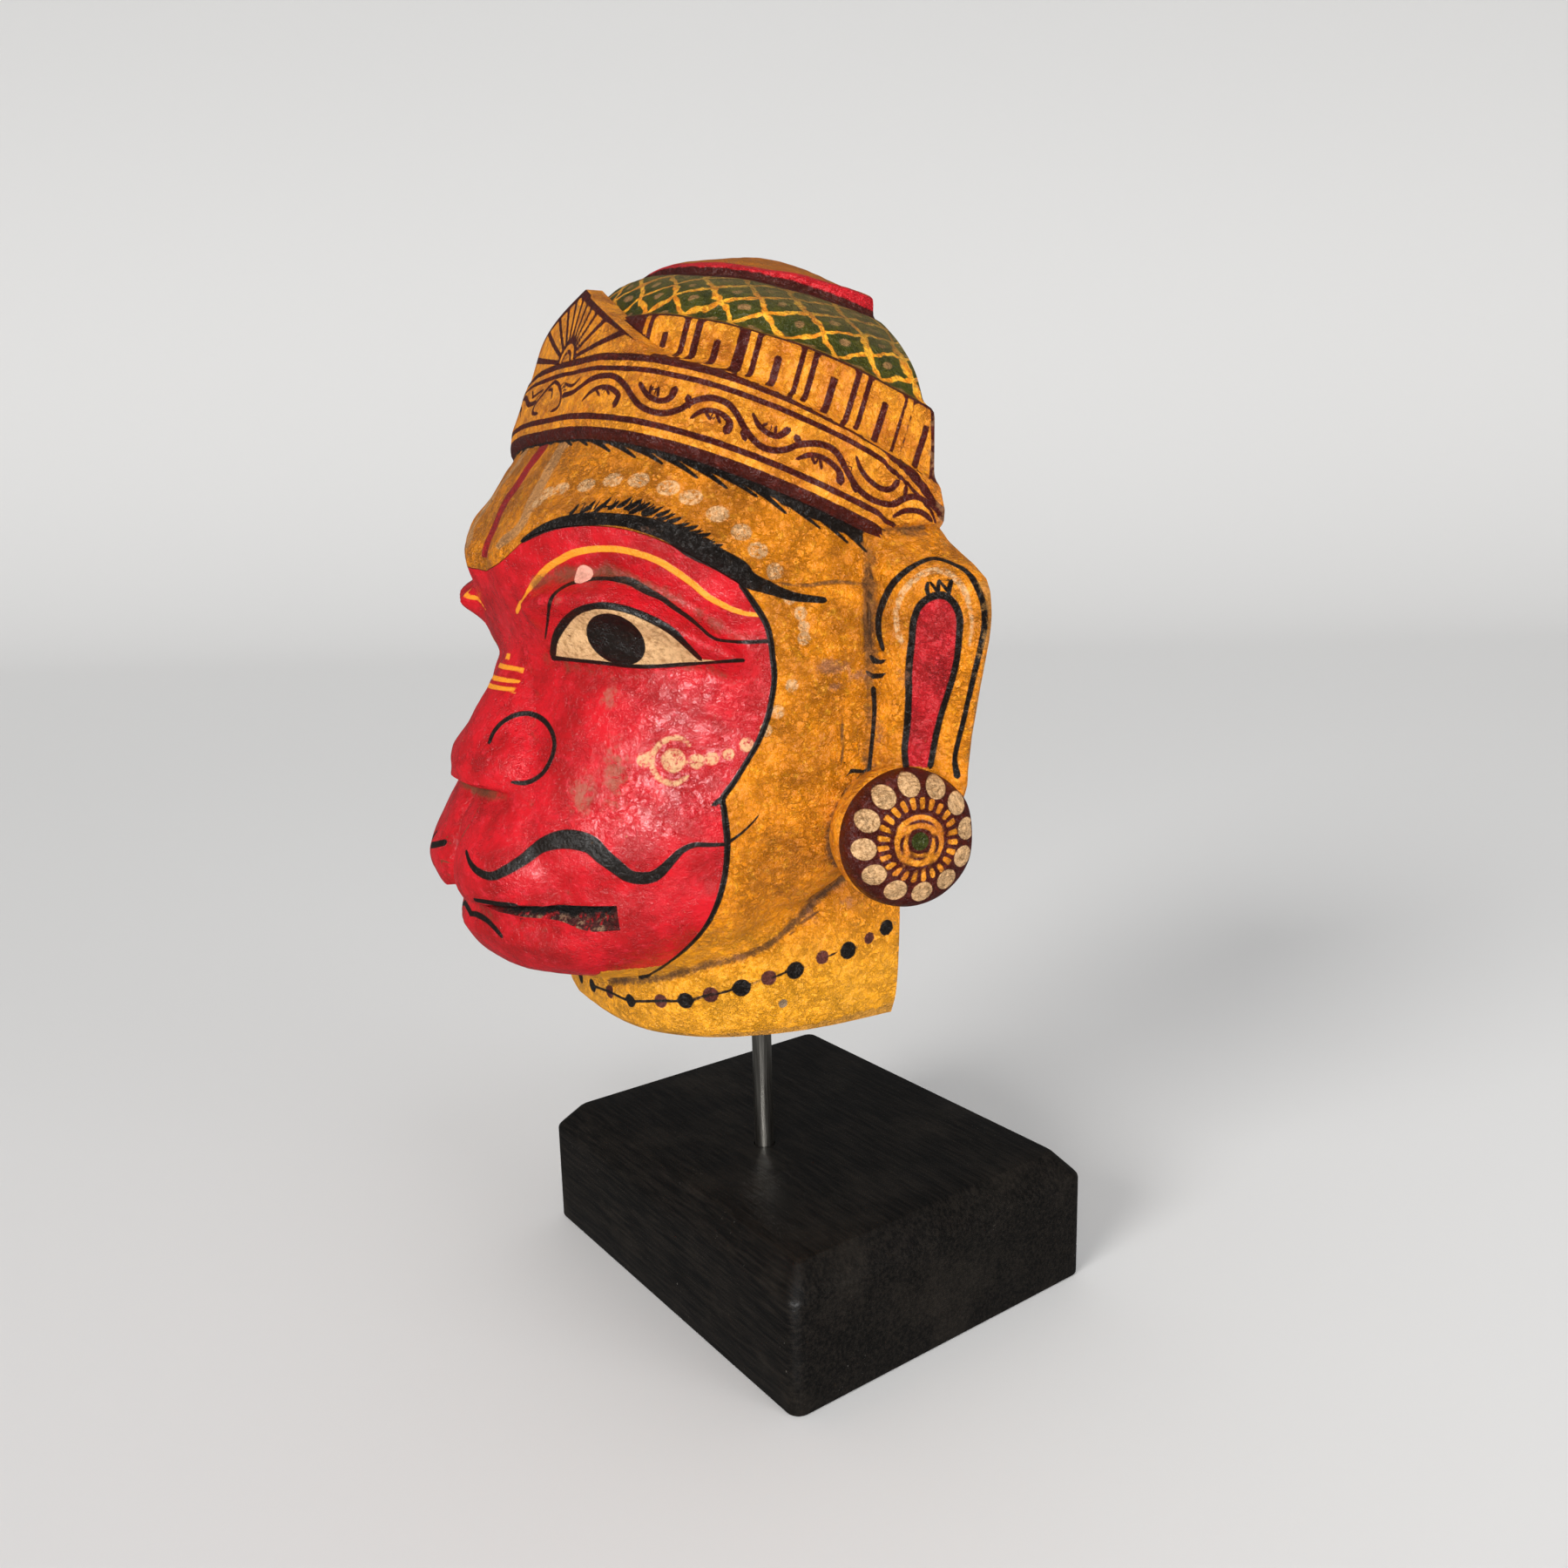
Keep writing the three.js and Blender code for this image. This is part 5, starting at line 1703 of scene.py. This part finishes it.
def vertex_zones(canvas):
    """The zone of each vertex: where faces of two zones meet, the later one of the list."""
    slots = np.empty(len(canvas.mesh.polygons), int)
    canvas.mesh.polygons.foreach_get("material_index", slots)
    zone = np.full(len(canvas.points), -1)
    for polygon, slot in zip(canvas.mesh.polygons, slots):
        for vertex in polygon.vertices:
            zone[vertex] = max(zone[vertex], slot)
    return zone


def within(value, low, high):
    """How far a value lies inside its limits."""
    return np.minimum(value - low, high - value)


def petal_gold(canvas, fields):
    """Rounded orange panels with a dark slot, and a thin bar between neighbours."""
    arc, rise = np.abs(fields[:, 0]), fields[:, 3]
    tree = nearest_tree(canvas.points)
    arcs = []
    for pixel in PETAL_CENTRES + BAR_CENTRES:
        hit = canvas.hit(pixel)
        arcs.append(arc[tree.find(hit)[1]] if hit is not None else 0)
    count = len(PETAL_CENTRES)
    spacing = (arcs[count - 1] - arcs[0]) / (count - 1)
    # The row goes on round the head by the same spacing
    further = [spacing * k for k in (1, 2, 3)]
    petal_arcs = arcs[:count] + [arcs[count - 1] + more for more in further]
    bar_arcs = arcs[count:] + [arcs[-1] + more for more in further]
    top = rise - fields[:, 4] - TIER_STEP - PETAL_MARGIN
    half = PETAL_HALF * spacing
    gold = np.full(len(arc), -FAR)
    for centre in petal_arcs:
        across = np.abs(arc - centre)
        beside = np.maximum(across - half + PETAL_CORNER, 0)
        corner = np.hypot(beside, np.maximum(rise - top + PETAL_CORNER, 0))
        slot = np.maximum(across - SLOT_HALF * spacing, rise - top + SLOT_DROP)
        gold = np.maximum(gold, np.minimum(PETAL_CORNER - corner, slot))
    for centre in bar_arcs:
        gold = np.maximum(gold, np.minimum(BAR_HALF * spacing - np.abs(arc - centre), top - rise))
    return gold


def crest_gold(canvas):
    """A half sun of rays over a half disc and an arch."""
    x, _, z = canvas.points.T
    foot = crest_front(0, 0)[2]
    tops = np.array([crest_top(across) for across in x])
    edge = (foot + tops - z) * CREST_EDGE_SLOPE - CREST_EDGE_WIDTH
    x = x - CREST_MIDDLE
    high = z - foot + CREST_SUN_DROP
    radius, angle = np.hypot(x, high), np.arctan2(high, x)
    ray = np.abs(((angle / CREST_RAY) % 1) - 0.5) * CREST_RAY * radius
    ray = ray - CREST_RAY_GAP - CREST_RAY_TAPER * radius
    arch = np.maximum(CREST_DISC - radius, within(radius, *CREST_ARCH))
    sun = np.maximum(np.minimum(ray, radius - CREST_RAY_START), arch)
    sun = np.minimum(sun, edge)
    return np.where(canvas.normals[:, 1] < CREST_FACING, sun, CREST_BACK_GOLD)


def earring_gold(canvas):
    """Rings and rays of gold, a ring of cream beads and a green eye."""
    place, axis, across, upward = earring_frame(1)
    local = canvas.folded - place
    middle = canvas.hit(EARRING_MIDDLE) - place
    a, b = local @ across - middle @ across, local @ upward - middle @ upward
    radius, angle, out = np.hypot(a, b), np.arctan2(b, a), local @ axis
    gold = np.maximum(*[within(radius, *limits) for limits in EARRING_RINGS])
    turn = (angle / (2 * math.pi) * EARRING_RAYS) % 1 - 0.5
    ray = (EARRING_RAY_HALF - np.abs(turn)) * 2 * math.pi / EARRING_RAYS * radius
    gold = np.maximum(gold, np.minimum(ray, within(radius, *EARRING_RAY_REACH)))
    gold = np.where(out < EARRING_GOLD_BACK, EARRING_BACK_GOLD, gold)
    turn = (angle / (2 * math.pi) * EARRING_BEADS + EARRING_BEAD_SHIFT) % 1 - 0.5
    turn = turn * 2 * math.pi / EARRING_BEADS
    bead = np.hypot(radius * np.cos(turn) - EARRING_BEAD_RING, radius * np.sin(turn))
    bead = np.where(out < EARRING_BEAD_BACK, -FAR, EARRING_BEAD_RADIUS - bead)
    return gold, bead, np.where(out > 0, EARRING_EYE - radius, -FAR)


def add_gold(canvas, fields, orange, cream, green):
    """Puts the gold, cream and green shapes of crown and earrings in place of the face's own."""
    zone = vertex_zones(canvas)
    petals, band, crest, ring = [zone == ZONES.index(n) for n in ("petals", "band", "crest", "earring")]
    plain = petals | band | crest
    gold, bead, eye = earring_gold(canvas)
    orange = np.where(petals, petal_gold(canvas, fields), orange)
    orange = np.where(crest, crest_gold(canvas), orange)
    orange = np.where(ring, gold, orange)
    cream = np.where(ring, bead, np.where(plain, -FAR, cream))
    green = np.where(ring, eye, np.where(plain, -FAR, green))
    return orange, cream, green


def finish_shading(made, angle=38):
    for polygon in made.data.polygons:
        polygon.use_smooth = True
    made.data.set_sharp_from_angle(angle=math.radians(angle))


def make_head():
    looks = {
        "face": face_look(),
        "band": band_look(),
        "petals": gold_look("painted_petals"),
        "dome": dome_look(),
        "cap": cap_look(),
        "crest": gold_look("painted_crest"),
        "earring": gold_look("painted_earring"),
        "mouth": mouth_look(),
        "bare": bare_look(),
    }
    head, fields = carve_head([looks[zone] for zone in ZONES])
    paint_head(head, fields)
    turned = Matrix.Rotation(HEAD_TURN, 4, "Z")
    placed = Matrix.Translation(Vector(ROD_FOOT)) @ turned
    head.data.transform(Matrix.Scale(MM, 4) @ placed)
    finish_shading(head)
    head.name = "carved_head"
    return head


def make_rod():
    """The rod, its ends slightly rounded."""
    low, high = ROD_BOTTOM + ROD_END_BEVEL, ROD_TOP - ROD_END_BEVEL
    shaft = [(low, ROD_RADIUS), (high, ROD_RADIUS)]
    sections = [(ROD_BOTTOM, ROD_END_RADIUS), *shaft, (ROD_TOP, ROD_END_RADIUS)]
    verts, faces = tube(sections, (ROD_X, ROD_Y), 48)
    rod = mesh_object("steel_rod", verts * MM, faces, [steel_look()])
    finish_shading(rod)
    return rod


def base_loop(inset, z, radius):
    """A rectangle with rounded corners and evenly cut sides."""
    corners = []
    for k, (side_x, side_y) in enumerate(((1, 1), (-1, 1), (-1, -1), (1, -1))):
        middle_x = side_x * (BASE_WIDTH / 2 - inset - radius)
        middle_y = side_y * (BASE_DEPTH / 2 - inset - radius)
        for i in range(CORNER_CUTS):
            angle = (k + i / (CORNER_CUTS - 1)) * math.pi / 2
            corners.append((middle_x + radius * math.cos(angle), middle_y + radius * math.sin(angle)))
    loop = []
    for (x0, y0), (x1, y1) in zip(corners, corners[1:] + corners[:1]):
        parts = SIDE_CUTS if math.hypot(x1 - x0, y1 - y0) > LONG_SIDE else 1
        loop += [(x0 + (x1 - x0) * i / parts, y0 + (y1 - y0) * i / parts, z) for i in range(parts)]
    return loop


def make_base():
    """The slab: a chamfered top, edges softened by handling, and the rod's blind hole."""
    verts, faces = loft([base_loop(*ring) for ring in BASE_RINGS])
    base = mesh_object("wooden_base", verts, faces, [base_look()])
    radius = ROD_RADIUS + CLEARANCE
    hole = tube([(ROD_BOTTOM - CLEARANCE, radius), (BASE_HEIGHT + 3, radius)], (ROD_X, ROD_Y))
    combine(base, mesh_object("hole_cut", *hole, []), "DIFFERENCE")
    base.data.transform(Matrix.Scale(MM, 4))
    finish_shading(base, 25)
    return base


# Stage, in metres

FLOOR_NEAR = 3.0
FLOOR_HALF_WIDTH = 7.0
BEND_START = -2.0
BEND_RADIUS = 2.6
WALL_TOP = 7.0
AIM_POINT = (0, 0, 0.18)
# Each lamp: its place aside to the right, toward the camera and up from the head, power, tint and
# size, which is an angle for the key light
LAMPS = {
    "key": ((-0.67, 0.74, 0.44), 2.0, (1, 0.985, 0.96), math.radians(24)),
    "window": ((-0.1, 1.25, 0.1), 5.5, (1, 0.97, 0.95), 0.4),
    "fill": ((0.9, 0.75, 0.03), 8.0, (1, 1, 1), 0.7),
    "sheen": ((-0.22, 1.2, 0.27), 20.0, (1, 1, 1), 0.42),
}
ROOM_LIGHT = 0.44
ROOM_LIGHT_GLOSS = 0.1


def make_camera():
    data = bpy.data.cameras.new("camera")
    data.sensor_width = SENSOR_WIDTH
    data.lens = FOCAL_PIXELS / PHOTO_SIZE * SENSOR_WIDTH
    data.clip_start, data.clip_end = 0.01, 50
    camera = bpy.data.objects.new("camera", data)
    turn = Matrix([list(column) for column in np.stack([ACROSS, UPWARD, BACKWARD], 1)]).to_4x4()
    camera.matrix_world = Matrix.Translation(Vector(PLACE * MM)) @ turn
    bpy.context.scene.collection.objects.link(camera)
    bpy.context.scene.camera = camera


def make_floor():
    """A pale floor that curves up into a wall behind the object."""
    profile = [(FLOOR_NEAR, 0.0)]
    for t in np.linspace(0, math.pi / 2, 32):
        profile.append((BEND_START - BEND_RADIUS * math.sin(t), BEND_RADIUS - BEND_RADIUS * math.cos(t)))
    profile.append((BEND_START - BEND_RADIUS, WALL_TOP))
    verts = []
    for reach, z in profile:
        for side in (-FLOOR_HALF_WIDTH, FLOOR_HALF_WIDTH):
            verts.append(TOWARD * reach + RIGHT * side + np.array([0, 0, z]))
    faces = [(2 * i, 2 * i + 2, 2 * i + 3, 2 * i + 1) for i in range(len(profile) - 1)]
    look = Look("pale_floor")
    _, _, height = look.split(look.place)
    shade = look.noise(400, 2, offset=141) * 0.04 - 0.02
    look.colour = look.blend((height / 1000 + shade).step(0, 2.4), FLOOR_PALE, WALL_PALE)
    look.rough = look.noise(400, 2, offset=142) * 0.1 + 0.85
    look.height = look.noise(3, 2, offset=143) * 0.02
    look.shader.inputs["Specular IOR Level"].default_value = 0.1
    floor = mesh_object("floor", verts, faces, [look.finish()])
    floor.visible_glossy = False
    for polygon in floor.data.polygons:
        polygon.use_smooth = True


def place_light(name, place, power, tint, size):
    """The key light is a sun and the others are discs, all aimed at the head."""
    aside, toward, up = place
    aim = Vector(AIM_POINT)
    data = bpy.data.lights.new(name, "SUN" if name == "key" else "AREA")
    if name == "key":
        data.angle = size
    else:
        data.shape = "DISK"
        data.size = size
    data.energy = power
    data.color = tint
    light = bpy.data.objects.new(name, data)
    light.location = aim + Vector(aside * RIGHT + toward * TOWARD + np.array([0, 0, up]))
    light.rotation_euler = (aim - light.location).to_track_quat("-Z", "Y").to_euler()
    bpy.context.scene.collection.objects.link(light)
    # Only the sheen lamp is mirrored in the paint, and the others only light it
    light.visible_diffuse = name != "sheen"
    light.visible_glossy = name == "sheen"


def make_lights():
    for name, lamp in LAMPS.items():
        place_light(name, *lamp)
    world = bpy.data.worlds.new("studio")
    world.use_nodes = True
    tree = world.node_tree
    tree.nodes["Background"].inputs["Color"].default_value = (1, 1, 1, 1)
    # Mirror rays see a dim room, so the dark paint stays dark
    ray = tree.nodes.new("ShaderNodeLightPath")
    strength = Value(tree, ray.outputs["Is Glossy Ray"]) * (ROOM_LIGHT_GLOSS - ROOM_LIGHT) + ROOM_LIGHT
    strength.put(tree.nodes["Background"].inputs["Strength"])
    bpy.context.scene.world = world
    bpy.context.scene.view_settings.view_transform = "Standard"


make_camera()
head = make_head()
rod = make_rod()
base = make_base()
make_floor()
make_lights()
for piece, node, slot in (
    (head, "head", "painted_wood"),
    (rod, "rod", "steel"),
    (base, "base", "black_wood"),
):
    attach(piece, "root")
    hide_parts(node)
